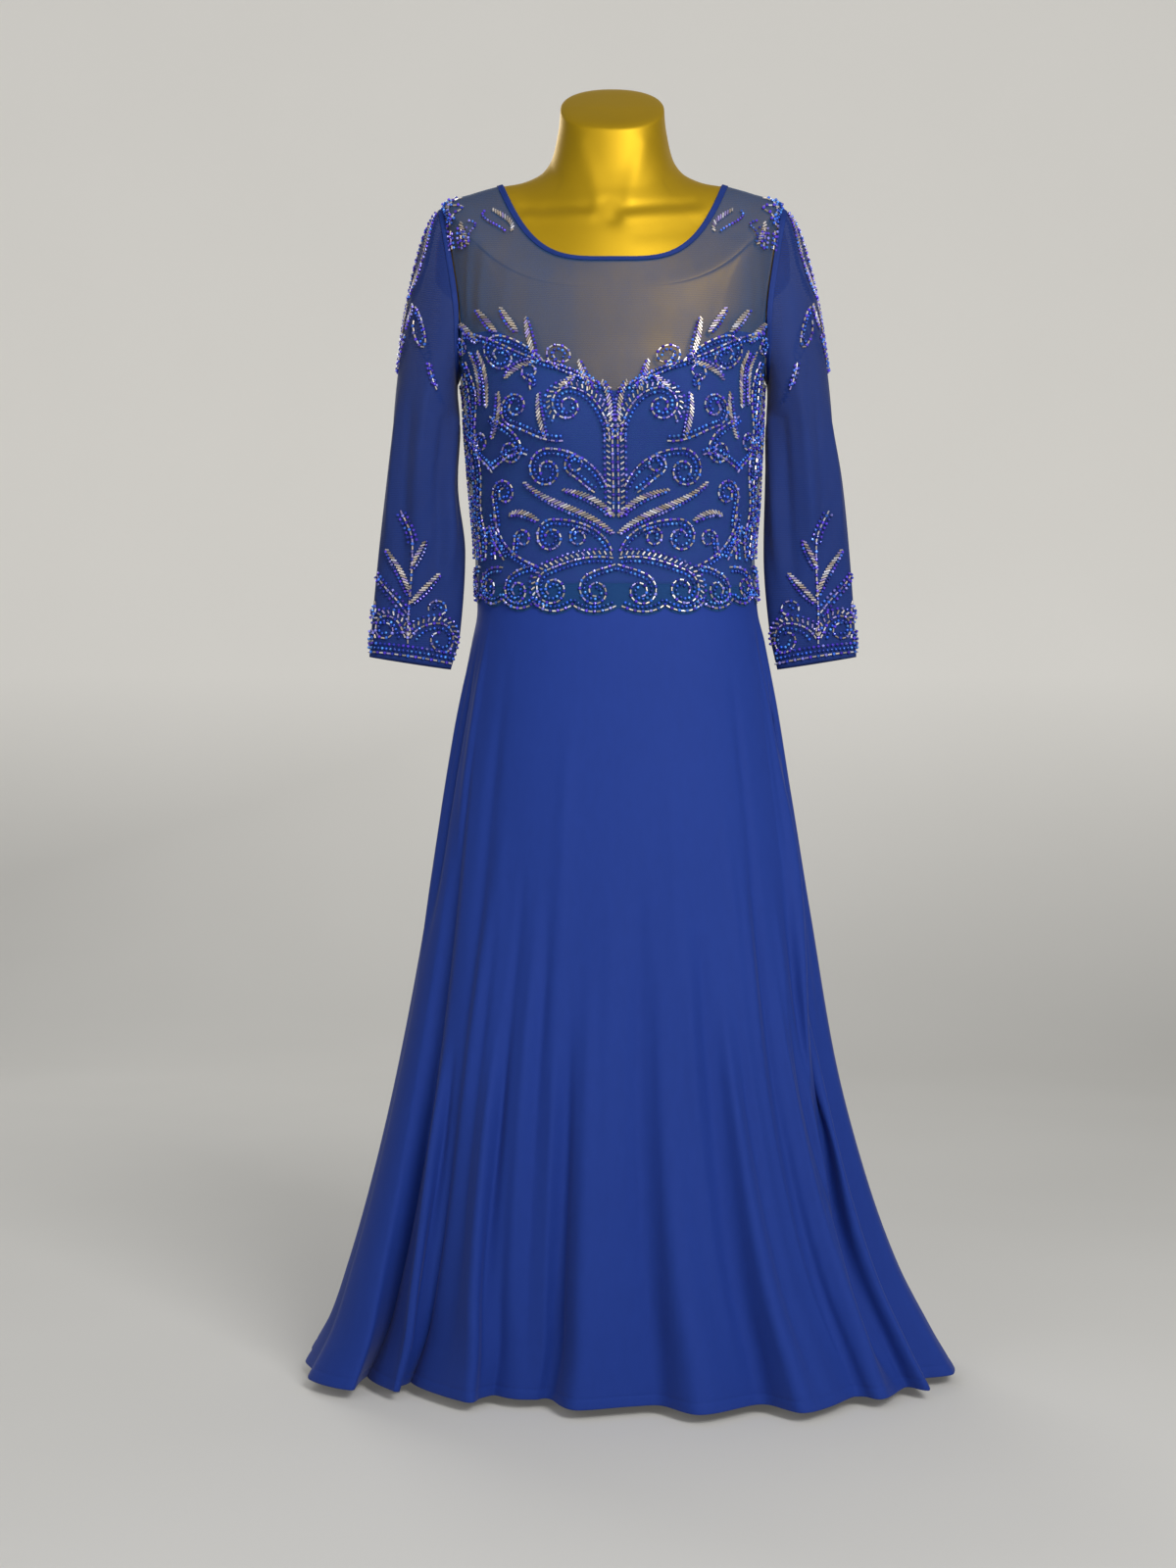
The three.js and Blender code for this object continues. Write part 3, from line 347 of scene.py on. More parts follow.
def figure(angle, level):
    """The figure that the cloth follows: angle 0 is the front, 90 the right side and 180 the back."""
    angle, level = np.broadcast_arrays(np.asarray(angle, float), np.asarray(level, float))
    ring = {name: RINGS(name, level) for name in RINGS.columns if name != "at"}
    across, forward = np.sin(np.radians(angle)), np.cos(np.radians(angle))
    wide = np.sign(across) * np.abs(across) ** ROUNDNESS
    deep = np.abs(forward) ** ROUNDNESS
    tilt = (1 - ring["plane"]) * (1 - np.abs(across) ** ring["bow"]) + ring["plane"] * deep
    end = np.where(forward > 0, ring["fore"], ring["aft"])
    cups = sum(np.exp(-(((angle - middle) / CUP_WIDE) ** 2)) for middle in (CUP_ANGLE, -CUP_ANGLE))
    cups = CUP_OUT * cups * np.exp(-(((level - CUP_LEVEL) / CUP_TALL) ** 2))
    y = np.where(forward > 0, -ring["front"] * deep, ring["back"] * deep) - cups
    return np.stack([ring["middle"] + ring["half"] * wide, y, ring["side"] + (end - ring["side"]) * tilt], -1)


def skirt(angle, level):
    """The skirt: the figure, moved in and out along the fold lines."""
    angle, level = np.broadcast_arrays(np.asarray(angle, float), np.asarray(level, float))
    start = FOLDS("from", angle)
    grown = np.clip((start - level) / (start - HEM_HEIGHT), 0, 1) ** FOLDS("ease", angle)
    turned = angle + (FOLDS("hem", angle) - angle) * grown * grown
    ahead = figure(turned + 0.5, level) - figure(turned - 0.5, level)
    outward = np.stack([ahead[..., 1], -ahead[..., 0], np.zeros(angle.shape)], -1)
    outward /= np.linalg.norm(outward, axis=-1, keepdims=True)
    return figure(turned, level) + outward * (FOLDS("out", angle) * grown)[..., None]


def yoke_relief(angle, level):
    return creases(YOKE_FOLDS, angle, level)


def skirt_relief(angle, level):
    return creases(SKIRT_CREASES, angle, level)


FIGURE = Surface(figure, 0.2, 0.5)
OVERLAY = Surface(figure, 0.2, 0.5, relief=yoke_relief)
SKIRT = Surface(skirt, 0.2, 0.5, relief=skirt_relief)


def beside(gap, level, column):
    """The angle that leaves a gap free beside a seam at the side or the middle back."""
    return np.degrees(np.arcsin((gap / RINGS(column, level)) ** (1 / ROUNDNESS)))


def armhole_open(level):
    return np.sqrt(np.maximum(0, 1 - (2 * (level - ARMPIT) / (SHOULDER_TIP - ARMPIT) - 1) ** 2))


def front_edge(level):
    return 90 - ARMHOLE_FRONT * armhole_open(level) - beside(SEAM_GAP, level, "front")


def back_edge(level):
    return 90 + ARMHOLE_BACK * armhole_open(level) + beside(SEAM_GAP, level, "back")


def centre_edge(level):
    """The edge beside the zip, and below it beside the seam in the middle of the back."""
    gap = SEAM_GAP + ZIP_HALF * smooth((level - ZIP_END) / 8 + 0.5)
    return 180 - beside(gap, level, "half")


SPANS = {
    "front": lambda level: (-front_edge(level), front_edge(level)),
    "back_right": lambda level: (back_edge(level), centre_edge(level)),
    "back_left": lambda level: (360 - centre_edge(level), 360 - back_edge(level)),
}


# The sleeve's head: how a line leaves the armhole, forwards, down and up, how the arm leans, and how strongly
# the head keeps to its direction at its start and at its end.
LEAVE_FORWARD, LEAVE_DOWN, LEAVE_UP, ARM_LEAN, HEAD_START, HEAD_END = 0.12, 0.12, 0.18, 0.06, 0.36, 0.95


def sleeve_surface(side):
    """A sleeve. share goes round from the inside of the arm over the front and the outside, and way from
    0 at the armhole to 1 where the arm starts and on to 2 at the cuff."""
    out, into = ("outLeft", "inLeft") if side < 0 else ("outRight", "inRight")

    def arm(share, way):
        lead = (1 - np.cos(2 * np.pi * share)) / 2
        section = {name: SLEEVE_SECTIONS(name, way) for name in (out, into, "outZ", "inZ", "deep", "y")}
        x = side * (section[into] + (section[out] - section[into]) * lead)
        y = section["y"] - section["deep"] * np.sin(2 * np.pi * share)
        return np.stack([x, y, section["inZ"] + (section["outZ"] - section["inZ"]) * lead], -1)

    def armhole(share):
        turn = 2 * np.pi * share
        halfway = (ARMPIT + SHOULDER_TIP) / 2
        level = halfway - (halfway - ARMPIT - ARMHOLE_CLEAR) * np.cos(turn)
        widest = np.where(np.sin(turn) > 0, ARMHOLE_FRONT, ARMHOLE_BACK) - ARMHOLE_CLEAR / 2
        return FIGURE.out(side * (90 - widest * np.sin(turn)), level, MESH_OUT)

    def at(share, way):
        share, way = np.broadcast_arrays(np.asarray(share, float), np.asarray(way, float))
        start, end = armhole(share), arm(share, np.zeros(share.shape))
        height = (1 - np.cos(2 * np.pi * share)) / 2
        leave = np.stack(
            [
                np.full(share.shape, float(side)),
                -LEAVE_FORWARD * np.sin(2 * np.pi * share),
                -LEAVE_DOWN - LEAVE_UP * height,
            ],
            -1,
        )
        leave /= np.linalg.norm(leave, axis=-1, keepdims=True)
        far = np.linalg.norm(end - start, axis=-1, keepdims=True)
        t = np.clip(way, -0.01, 1)[..., None]
        u = 1 - t
        arrive = np.array([side * ARM_LEAN, 0, -1])
        head = start * u * u * (1 + 2 * t) + leave * HEAD_START * far * t * u * u
        head = head + end * t * t * (3 - 2 * t) - arrive * HEAD_END * far * t * t * u
        return np.where(way[..., None] < 1, head, arm(share, np.maximum(way, 1) - 1))

    def relief(share, way):
        return creases(SLEEVE_CREASES, np.mod(share, 1), way)

    return Surface(at, 0.002, 0.002, outward=-side, relief=relief)


SLEEVES = {"left": sleeve_surface(-1), "right": sleeve_surface(1)}


def way_at_distance(surface, share, distance):
    """Where a line down the sleeve has come a distance from the armhole."""
    start = surface.at(share, 0)
    low, high = np.zeros(share.shape), np.full(share.shape, 0.9)
    for _ in range(22):
        way = (low + high) / 2
        near = np.linalg.norm(surface.at(share, way) - start, axis=-1) < distance
        low, high = np.where(near, way, low), np.where(near, high, way)
    return low


# Materials


class Value:
    """A number that varies over a surface, with the arithmetic that a shader's maths nodes do."""

    def __init__(self, finish, socket):
        self.finish, self.socket = finish, socket

    def maths(self, operation, *others):
        return self.finish.node("ShaderNodeMath", {"operation": operation}, [self, *others])

    def __add__(self, other):
        return self.maths("ADD", other)

    def __mul__(self, other):
        return self.maths("MULTIPLY", other)

    __radd__ = __add__
    __rmul__ = __mul__

    def sine(self):
        return self.maths("SINE")


class Finish:
    """One material. The record's slot that it shows is kept with it but not used."""

    def __init__(self, name, slot, **sockets):
        self.slot = slot
        self.material = bpy.data.materials.new(name)
        self.material.use_nodes = True
        self.tree = self.material.node_tree
        self.surface = self.tree.nodes["Principled BSDF"]
        self.set(**sockets)

    def feed(self, socket, value):
        if isinstance(value, Value):
            self.tree.links.new(value.socket, socket)
        elif socket.type == "RGBA":
            socket.default_value = (*value, 1)
        else:
            socket.default_value = value

    def node(self, kind, settings=None, inputs=(), output=0):
        made = self.tree.nodes.new(kind)
        for name, value in (settings or {}).items():
            setattr(made, name, value)
        pairs = inputs.items() if isinstance(inputs, dict) else enumerate(inputs)
        for key, value in pairs:
            self.feed(made.inputs[key], value)
        return Value(self, made.outputs[output])

    def set(self, **sockets):
        for name, value in sockets.items():
            self.feed(self.surface.inputs[name.replace("_", " ")], value)

    def place(self, stretch=(1, 1, 1)):
        where = self.node("ShaderNodeTexCoord", output="Object")
        return self.node("ShaderNodeVectorMath", {"operation": "MULTIPLY"}, [where, stretch])

    def axis(self, name):
        return self.node("ShaderNodeSeparateXYZ", inputs=[self.place()], output=name)

    def noise(self, scale, detail=2, stretch=(1, 1, 1)):
        sizes = {"Vector": self.place(stretch), "Scale": scale, "Detail": detail}
        return self.node("ShaderNodeTexNoise", inputs=sizes)

    def mixed(self, share, one, other):
        return self.node("ShaderNodeMix", {"data_type": "RGBA"}, {0: share, 6: one, 7: other}, output=2)

    def bump(self, height, distance, strength=1.0):
        sizes = {"Height": height, "Distance": distance, "Strength": strength}
        self.set(Normal=self.node("ShaderNodeBump", inputs=sizes))


# How far the jersey's wales and the mesh's ribs turn in a metre, and the height below which the sleeves' mesh
# hides more and more, a painted shade.
WALES, RIBS, SHOULDER_HEIGHT = 5200, 2 * math.pi / 0.0026, 1.3


def jersey_finish(name, light, dark):
    """Matte royal blue jersey with a very fine knit and slightly uneven dye."""
    cloth = Finish(name, "jersey", Roughness=0.72, Specular_IOR_Level=0.2)
    cloth.set(Sheen_Weight=0.07, Sheen_Roughness=0.4)
    uneven = cloth.noise(5, 3) * 0.6 + cloth.noise(140, 2, (1, 1, 0.35)) * 0.4
    cloth.set(Base_Color=cloth.mixed(uneven, dark, light))
    wales = (cloth.axis("X") * WALES).sine() * 0.3
    cloth.bump(cloth.noise(1500, 1) + wales, 0.0003, 0.35)
    return cloth


def mesh_finish(name, light, dark, cover, fall):
    """Sheer stretch mesh: fine wavy ribs round the body, a little thicker in some places. cover is how much
    it hides at the height of the shoulders, and fall how much more it hides for each metre below, a painted
    shade that darkens the sleeves towards their cuffs."""
    cloth = Finish(name, "mesh", Roughness=0.8, Specular_IOR_Level=0.2)
    cloth.set(Sheen_Weight=0.06, Sheen_Roughness=0.5)
    warp = cloth.noise(60, 2, (0.5, 0.5, 1)) * 5
    ribs = (cloth.axis("Z") * RIBS + warp).sine()
    slack = cloth.noise(22, 3, (1.6, 1.6, 0.4))
    cloth.set(Base_Color=cloth.mixed(slack, dark, light))
    evenly = cloth.axis("Z") * -fall + (cover + SHOULDER_HEIGHT * fall - 0.06)
    cloth.set(Alpha=ribs * 0.05 + slack * 0.12 + evenly)
    cloth.bump(ribs * 0.5 + cloth.noise(900, 1), 0.0003, 0.4)
    return cloth


def binding_finish():
    cloth = Finish("binding", "binding", Roughness=0.7, Specular_IOR_Level=0.2)
    uneven = cloth.noise(60, 2)
    cloth.set(Base_Color=cloth.mixed(uneven, (0.006, 0.022, 0.13), (0.011, 0.034, 0.2)))
    cloth.bump(cloth.noise(1300, 1), 0.0003, 0.4)
    return cloth


def bead_finish(name, slot, **sockets):
    """Beads take their tones from the colour that each bead's points carry."""
    beads = Finish(name, slot, **sockets)
    tone = beads.node("ShaderNodeAttribute", {"attribute_name": "tone"}, output="Color")
    beads.set(Base_Color=tone)
    return beads


def gold_finish():
    """The form's satin gold paint, a little uneven and with a faint grain."""
    paint = Finish("gold_paint", "form_shell", Metallic=0.72)
    uneven = paint.noise(9, 3)
    paint.set(Base_Color=paint.mixed(uneven, (0.46, 0.28, 0.003), (0.56, 0.345, 0.006)))
    paint.set(Roughness=paint.noise(30, 2) * 0.1 + 0.47)
    paint.bump(paint.noise(260, 2), 0.0004, 0.12)
    return paint


def steel_finish():
    metal = Finish("brushed_steel", "stand_metal", Metallic=1.0)
    brushed = metal.noise(40, 3, (1, 1, 30))
    metal.set(Base_Color=metal.mixed(brushed, (0.42, 0.42, 0.41), (0.6, 0.6, 0.59)))
    metal.set(Roughness=brushed * 0.2 + 0.28)
    return metal


def zip_finish():
    paint = Finish("zip_paint", "zip", Metallic=0.3, Roughness=0.32, Coat_Weight=0.5)
    worn = paint.noise(420, 2)
    paint.set(Base_Color=paint.mixed(worn, (0.012, 0.03, 0.18), (0.03, 0.07, 0.32)))
    return paint


JERSEY = jersey_finish("jersey", (0.012, 0.042, 0.27), (0.008, 0.031, 0.21))
UNDER = jersey_finish("under_jersey", (0.07, 0.02, 0.5), (0.052, 0.014, 0.42))
MESH = mesh_finish("bodice_mesh", (0.011, 0.071, 0.215), (0.006, 0.054, 0.165), 0.6, 0.0)
# Painted shade: the sleeves' mesh is the bodice's blue cloth, made darker and hiding more, the more so lower
# down.
SLEEVE_MESH = mesh_finish("sleeve_mesh", (0.010, 0.033, 0.18), (0.006, 0.022, 0.135), 0.85, 0.25)
BINDING = binding_finish()
SILVER = bead_finish("silver_bugles", "silver_beads", Metallic=0.4, Roughness=0.34)
BLUE = bead_finish("blue_beads", "blue_beads", Metallic=0.2, Roughness=0.22, Coat_Weight=0.6)
GOLD = gold_finish()
STEEL = steel_finish()
ZIP = zip_finish()


# Meshes


def grid_faces(rows, columns, start=0, closed=False, flipped=False):
    """The faces between neighbouring points of a grid, closed round on itself or not."""
    index = start + np.arange(rows * columns).reshape(rows, columns)
    if closed:
        index = np.concatenate([index, index[:, :1]], 1)
    faces = np.stack([index[:-1, :-1], index[:-1, 1:], index[1:, 1:], index[1:, :-1]], -1).reshape(-1, 4)
    return (faces[:, ::-1] if flipped else faces).tolist()


def piece(name, points, faces, finish, stands_for=(), body="gown", soft=True):
    mesh = bpy.data.meshes.new(name)
    mesh.from_pydata((np.asarray(points).reshape(-1, 3) * MM).tolist(), [], faces)
    mesh.validate()
    mesh.polygons.foreach_set("use_smooth", [soft] * len(mesh.polygons))
    mesh.materials.append(finish.material)
    made = bpy.data.objects.new(name, mesh)
    bpy.context.scene.collection.objects.link(made)
    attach(made, body)
    if stands_for:
        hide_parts(*stands_for)
    return made


def single_sheet(name, points, finish, stands_for, closed=False, flipped=False):
    rows, columns = points.shape[:2]
    return piece(name, points, grid_faces(rows, columns, closed=closed, flipped=flipped), finish, stands_for)


def double_sheet(name, outer, inner, finish, stands_for, flipped=False):
    """Cloth with both its faces, joined all round its edge."""
    rows, columns = outer.shape[:2]
    count = rows * columns
    faces = grid_faces(rows, columns, flipped=flipped)
    faces += grid_faces(rows, columns, count, flipped=not flipped)
    index = np.arange(count).reshape(rows, columns)
    rim = np.concatenate([index[0], index[1:, -1], index[-1, -2::-1], index[-2::-1, 0]])
    edge = np.stack([rim[1:], rim[:-1], rim[:-1] + count, rim[1:] + count], -1)
    faces += (edge[:, ::-1] if flipped else edge).tolist()
    return piece(name, np.concatenate([outer, inner]), faces, finish, stands_for)


def tube(name, rings, finish, stands_for=(), closed=False, soft=True, body="gown"):
    """A solid strip through rings of points, with its ends closed or joined to each other."""
    count, sides = rings.shape[:2]
    index = np.arange(count * sides).reshape(count, sides)
    index = np.concatenate([index, index[:, :1]], 1)
    if closed:
        index = np.concatenate([index, index[:1]], 0)
    faces = np.stack([index[:-1, :-1], index[:-1, 1:], index[1:, 1:], index[1:, :-1]], -1)
    faces = faces.reshape(-1, 4).tolist()
    if not closed:
        faces += [index[0, :-1][::-1].tolist(), index[-1, :-1].tolist()]
    return piece(name, rings, faces, finish, stands_for, body, soft)


# The form

# The closed top of the neck: rings by their share of the neck's own size, and how high each one rises.
FORM_DOME = [(0.985, 1.2), (0.93, 2.8), (0.8, 4.4), (0.6, 5.6), (0.35, 6.4), (0.12, 6.8)]
# How the front of the form is evened out: the step, the reach, the steps on each side and the soft ends, then
# the levels and the least angle from the side where this is done.
EVEN_STEP, EVEN_OVER, EVEN_STEPS, EVEN_ENDS = 2.0, 13.0, 20, 30
CHEST_LOW, CHEST_HIGH, CHEST_FROM_SIDE = 1130, 1432, 37.8


def evened(up, depth):
    """Depths up a column of the form, evened out over a short stretch, less so near the column's ends."""
    grid = np.arange(up[0], up[-1], EVEN_STEP)
    reach = np.arange(-EVEN_STEPS, EVEN_STEPS + 1) * EVEN_STEP
    weights = np.exp(-((reach / EVEN_OVER) ** 2) / 2)
    known = np.pad(np.interp(grid, up, depth), EVEN_STEPS, mode="reflect", reflect_type="odd")
    soft = np.interp(up, grid, np.convolve(known, weights / weights.sum(), "valid"))
    share = smooth((up - up[0]) / EVEN_ENDS) * smooth((up[-1] - up) / EVEN_ENDS)
    return depth + (soft - depth) * share


def form_torso():
    """The figure again, a little inside the cloth, with shoulder caps where the arms would start."""
    low = np.concatenate([[TORSO_UNDERSIDE], np.linspace(TORSO_UNDERSIDE + 10, ARMPIT - 2, 56)])
    turn = np.linspace(0, np.pi, 40)
    shoulder = ARMPIT + 0.1 + (SHOULDER_TIP - ARMPIT - 0.2) * (1 - np.cos(turn)) / 2
    neck = np.linspace(NECKLINE + 1.5, NECK_TOP, 72)
    neck = np.concatenate([np.linspace(SHOULDER_SEAM, NECKLINE, 12), neck])
    levels = np.concatenate([low, shoulder, neck])[:, None]
    front, back = front_edge(levels), back_edge(levels)
    half = np.concatenate(
        [
            np.linspace(0, 1, 40)[None, :-1] * front,
            front + (back - front) * np.linspace(0, 1, 15)[None, :-1],
            back + (180 - back) * np.linspace(0, 1, 22)[None, :],
        ],
        1,
    )
    angles = np.concatenate([half, 360 - half[:, -2:0:-1]], 1)
    levels = np.broadcast_to(levels, angles.shape)
    from_side = np.abs(np.abs(np.where(angles > 180, angles - 360, angles)) - 90)
    seated = (levels > SHOULDER_TIP - 1) & (levels <= NECKLINE)
    seat = np.where(seated, 1 - np.clip(from_side / SHOULDER_SEAT_WIDE, 0, 1) ** 2, 0)
    cap = np.maximum(0, 1 - (from_side / (ARMHOLE_BACK - 5)) ** 2) * (armhole_open(levels) > 0)
    out = FORM_ROWS("out", levels) + SHOULDER_SEAT * seat + cap * FORM_ROWS("cap", levels)
    points = FIGURE.out(angles, levels, out)
    chest = np.flatnonzero((levels[:, 0] > CHEST_LOW) & (levels[:, 0] < CHEST_HIGH))
    ahead = np.cos(np.radians(angles[0])) > 0
    for column in np.flatnonzero((from_side[0] > CHEST_FROM_SIDE) & ahead):
        points[chest, column, 1] = evened(points[chest, column, 2], points[chest, column, 1])
    points = collarbones(points, levels)
    points[0, :, 2] = TORSO_UNDERSIDE
    top = points[-1]
    middle = top.mean(0)
    lean = np.array([0, -(top[0, 2] - middle[2]) / (top[0, 1] - middle[1]), 1])
    lean /= np.linalg.norm(lean)
    dome = [middle + (top - middle) * share + lean * rise for share, rise in FORM_DOME]
    rings = np.concatenate([points, dome])
    rows, columns = rings.shape[:2]
    faces = grid_faces(rows, columns, closed=True)
    crown, under = rows * columns, rows * columns + 1
    last = (rows - 1) * columns
    for i in range(columns):
        j = (i + 1) % columns
        faces.append([last + i, last + j, crown])
        faces.append([j, i, under])
    ends = [middle + lean * FORM_DOME[-1][1], [points[0, :, 0].mean(), 0, TORSO_UNDERSIDE]]
    return piece("form_shell", np.concatenate([rings.reshape(-1, 3), ends]), faces, GOLD, ["form_torso"])


# Lines of low relief on the front of the form's neck and shoulders, across and up, with width and height.
NECK_RELIEF = [
    {"from": (-104, 1375), "to": (-30, 1372), "wide": 7, "out": -1.7},
    {"from": (-104, 1362), "to": (-27, 1360), "wide": 8, "out": 1.5},
    {"from": (18, 1370), "to": (92, 1381), "wide": 7, "out": -1.7},
    {"from": (15, 1358), "to": (106, 1371), "wide": 8, "out": 1.5},
    {"from": (30, 1336), "to": (84, 1344), "wide": 10, "out": -0.7},
    {"from": (-8, 1376), "to": (0, 1356), "wide": 9, "out": -1.3},
    {"from": (8, 1376), "to": (0, 1356), "wide": 9, "out": -1.3},
    {"from": (18, 1384), "to": (38, 1452), "wide": 10, "out": 1.2},
    {"from": (-18, 1384), "to": (-38, 1452), "wide": 10, "out": 1.2},
]


def collarbones(points, levels):
    """Soft relief on the front of the neck and shoulders, above the neckline of the gown."""
    front = smooth((-points[..., 1] + 5) / 25) * smooth((levels - NECKLINE + 2) / 8)
    spot = points[..., [0, 2]]
    lift = np.zeros(levels.shape)
    for bone in NECK_RELIEF:
        start, end = np.array(bone["from"], float), np.array(bone["to"], float)
        share = np.clip(((spot - start) @ (end - start)) / ((end - start) @ (end - start)), 0, 1)
        gap = np.linalg.norm(spot - (start + share[..., None] * (end - start)), axis=-1)
        lift += bone["out"] * np.exp(-((gap / bone["wide"]) ** 2))
    moved = points.copy()
    moved[..., 1] -= lift * front
    return moved


# The bodice

# The scallops from the middle to the side, how deep and how full they are, and how they widen sideways
LOBES, LOBE_DEEP, LOBE_FULL, LOBE_SPREAD = 5, 9, 0.7, 0.14
SCALLOP_FRONT, SCALLOP_BACK, SCALLOP_SIDE = 902, 909, 22  # the edge's levels, and its rise at the sides


def scallop_level(angle):
    """The scalloped lower edge of the beaded bodice."""
    side = np.abs(np.sin(np.radians(angle)))
    from_front = np.abs(np.mod(angle + 180, 360) - 180)
    behind = from_front > 90
    from_middle = np.where(behind, 180 - from_front, from_front) / 90
    share = from_middle * (1 + LOBE_SPREAD - LOBE_SPREAD * from_middle)
    lobe = np.abs(np.sin(np.pi * LOBES * share)) ** LOBE_FULL
    return np.where(behind, SCALLOP_BACK, SCALLOP_FRONT) + SCALLOP_SIDE * side**3 - LOBE_DEEP * lobe


def bodice_places(span, columns):
    """The angles and levels of a sheer panel's points, from the scalloped edge up to the neck binding."""
    share = np.linspace(0, 1, columns)[None, :]
    low, high = SPANS[span](np.array(float(SIDE_LEVEL)))
    angles = low + (high - low) * share
    bottom = scallop_level(angles)
    up = np.linspace(0, 1, 10)[:-1, None] ** 0.8
    lower = bottom + (SIDE_LEVEL - bottom) * up
    turn = np.linspace(0, np.pi, 44)
    armhole = ARMPIT + (SHOULDER_TIP - ARMPIT) * (1 - np.cos(turn)) / 2
    top = np.linspace(SHOULDER_SEAM, NECKLINE - NECK_BINDING_SHOWN + 1, 12)
    levels = np.concatenate([np.linspace(SIDE_LEVEL, ARMPIT - 5, 42), armhole, top])[:, None]
    low, high = SPANS[span](levels)
    upper = low + (high - low) * share
    return (
        np.concatenate([np.broadcast_to(angles, lower.shape), upper]),
        np.concatenate([lower, np.broadcast_to(levels, upper.shape)]),
    )


def sheer_panel(span):
    angles, levels = bodice_places(span, 181 if span == "front" else 91)
    points = OVERLAY.out(angles, levels, MESH_OUT)
    return single_sheet("sheer_" + span, points, MESH, ["bodice_" + span])


def sweetheart_level(span, share):
    """The level at which each column of the under-bodice ends."""
    low, high = np.full(share.shape, WAIST_SEAM), np.full(share.shape, float(SHOULDER_TIP - 40))
    for _ in range(18):
        level = (low + high) / 2
        start, end = SPANS[span](level)
        at = figure(start + (end - start) * share, level)
        edge = SWEETHEART("height", np.abs(at[..., 0])) if span == "front" else ARMPIT - 4
        above = at[..., 2] > edge
        low, high = np.where(above, low, level), np.where(above, level, high)
    return low


def under_panel(span):
    """The opaque layer under the mesh. In front it ends in the sweetheart line, behind it ends level."""
    share = np.linspace(0, 1, 121 if span == "front" else 61)
    top = sweetheart_level(span, share)[None, :]
    levels = WAIST_SEAM + 0.3 + (top - WAIST_SEAM - 0.3) * np.linspace(0, 1, 60)[:, None]
    low, high = SPANS[span](levels)
    angles = low + (high - low) * share[None, :]
    outer = FIGURE.out(angles, levels, UNDER_OUT)
    inner = FIGURE.out(angles, levels, UNDER_OUT - CLOTH)
    return double_sheet("under_" + span, outer, inner, UNDER, ["underbodice_" + span])


# A folded binding's outline across its width: shares of the width, and heights over the cloth.
BINDING_OUTLINE = [
    (0, 0.2),
    (0.03, 0.75),
    (0.12, 1.05),
    (0.24, 1.0),
    (0.3, 0.78),
    (0.36, 1.0),
    (0.62, 1.12),
    (0.86, 1.1),
    (0.97, 0.8),
    (1, 0.1),
    (0.97, -0.55),
    (0.8, -0.75),
    (0.3, -0.75),
    (0.04, -0.5),
]


def neck_binding(span):
    low, high = SPANS[span](np.array(float(NECKLINE)))
    angles = np.linspace(low, high, 161 if span == "front" else 61)[:, None]
    outline = np.array(BINDING_OUTLINE)
    levels = (NECKLINE - NECK_BINDING_SHOWN + NECK_BINDING_SHOWN * outline[:, 0])[None, :]
    rings = FIGURE.out(*np.broadcast_arrays(angles, levels), MESH_OUT + outline[:, 1])
    return tube("neck_edge_" + span, rings[:, ::-1], BINDING, ["neck_binding_" + span])


ARMHOLE_GAP = 0.3  # between the armhole's edge and its binding


def armhole_binding(name, side):
    surface = SLEEVES[name]
    share = np.linspace(0, 1, 129)[:-1]
    rings = []
    for across, out in BINDING_OUTLINE:
        way = way_at_distance(surface, share, ARMHOLE_GAP + (ARMHOLE_BINDING_WIDTH - ARMHOLE_GAP) * across)
        rings.append(surface.at(share, way) + surface.normal(share, way) * out)
    rings = np.stack(rings, 1)
    return tube(
        "armhole_edge_" + name,
        rings if side > 0 else rings[:, ::-1],
        BINDING,
        ["armhole_binding_" + name],
        closed=True,
    )


# The skirt

STITCH_AT = HEM_HEIGHT + HEM_TURNED
HEM_LEVELS = [52, 44, 37, 31, 27.5, 25.5, 24, 22.5, 20.5, 17.5, 15, 13.2, 12.3, HEM_HEIGHT]
FINE = {"front": 15, "back_right": 9, "back_left": 9}  # columns from one fold line to the next
SEAM_ROLL, STITCH_WIDE = 0.35, 1.3
SEAM_ANGLES = np.array([0, 0.12, 0.28, 0.5, 0.85, 1.4])
PANEL_ENDS = {"front": (-90, 90), "back_right": (90, 180), "back_left": (180, 270)}


def skirt_panel(span):
    """A panel of the skirt with its folds, its turned hem and the cloth rolled in at its two seams."""
    start, end = PANEL_ENDS[span]
    lines = FOLDS.at[(FOLDS.at >= start) & (FOLDS.at <= end)]
    between = [np.linspace(a, b, FINE[span], endpoint=False) for a, b in zip(lines, lines[1:])]
    angles = np.unique(np.concatenate([*between, start + SEAM_ANGLES, end - SEAM_ANGLES, [end]]))[None, :]
    upper = np.concatenate([np.linspace(WAIST_SEAM - 0.3, 850, 12), np.linspace(840, 60, 66)])
    levels = np.concatenate([upper, HEM_LEVELS])[::-1, None]
    centre = centre_edge(levels)
    side = beside(SEAM_GAP, levels, "front")
    low = 360 - centre if start == 180 else start + side
    high = centre if end == 180 else end - side
    clipped = np.clip(angles, low, high)
    levels = np.broadcast_to(levels, clipped.shape)
    seam = np.exp(-(((clipped - low) / SEAM_ROLL) ** 2)) + np.exp(-(((high - clipped) / SEAM_ROLL) ** 2))
    stitch = np.exp(-(((levels - STITCH_AT) / STITCH_WIDE) ** 2))
    edge = np.exp(-(levels - HEM_HEIGHT) / 0.5)
    outer = SKIRT.out(clipped, levels, SKIRT_OUT - 0.5 * seam - 0.45 * stitch - 0.8 * edge)
    turned = smooth((STITCH_AT + 0.8 - levels) / 1.2)
    inner = SKIRT.out(clipped, levels, SKIRT_OUT - CLOTH - 0.4 * seam - 0.9 * turned + 0.5 * edge)
    return double_sheet("skirt_cloth_" + span, outer, inner, JERSEY, ["skirt_" + span])


# The sleeves

CUFF_TURNED, CUFF_TURNED_IN = [1.999, 1.985, 1.97], 0.7  # the cuff's hem, turned up inside


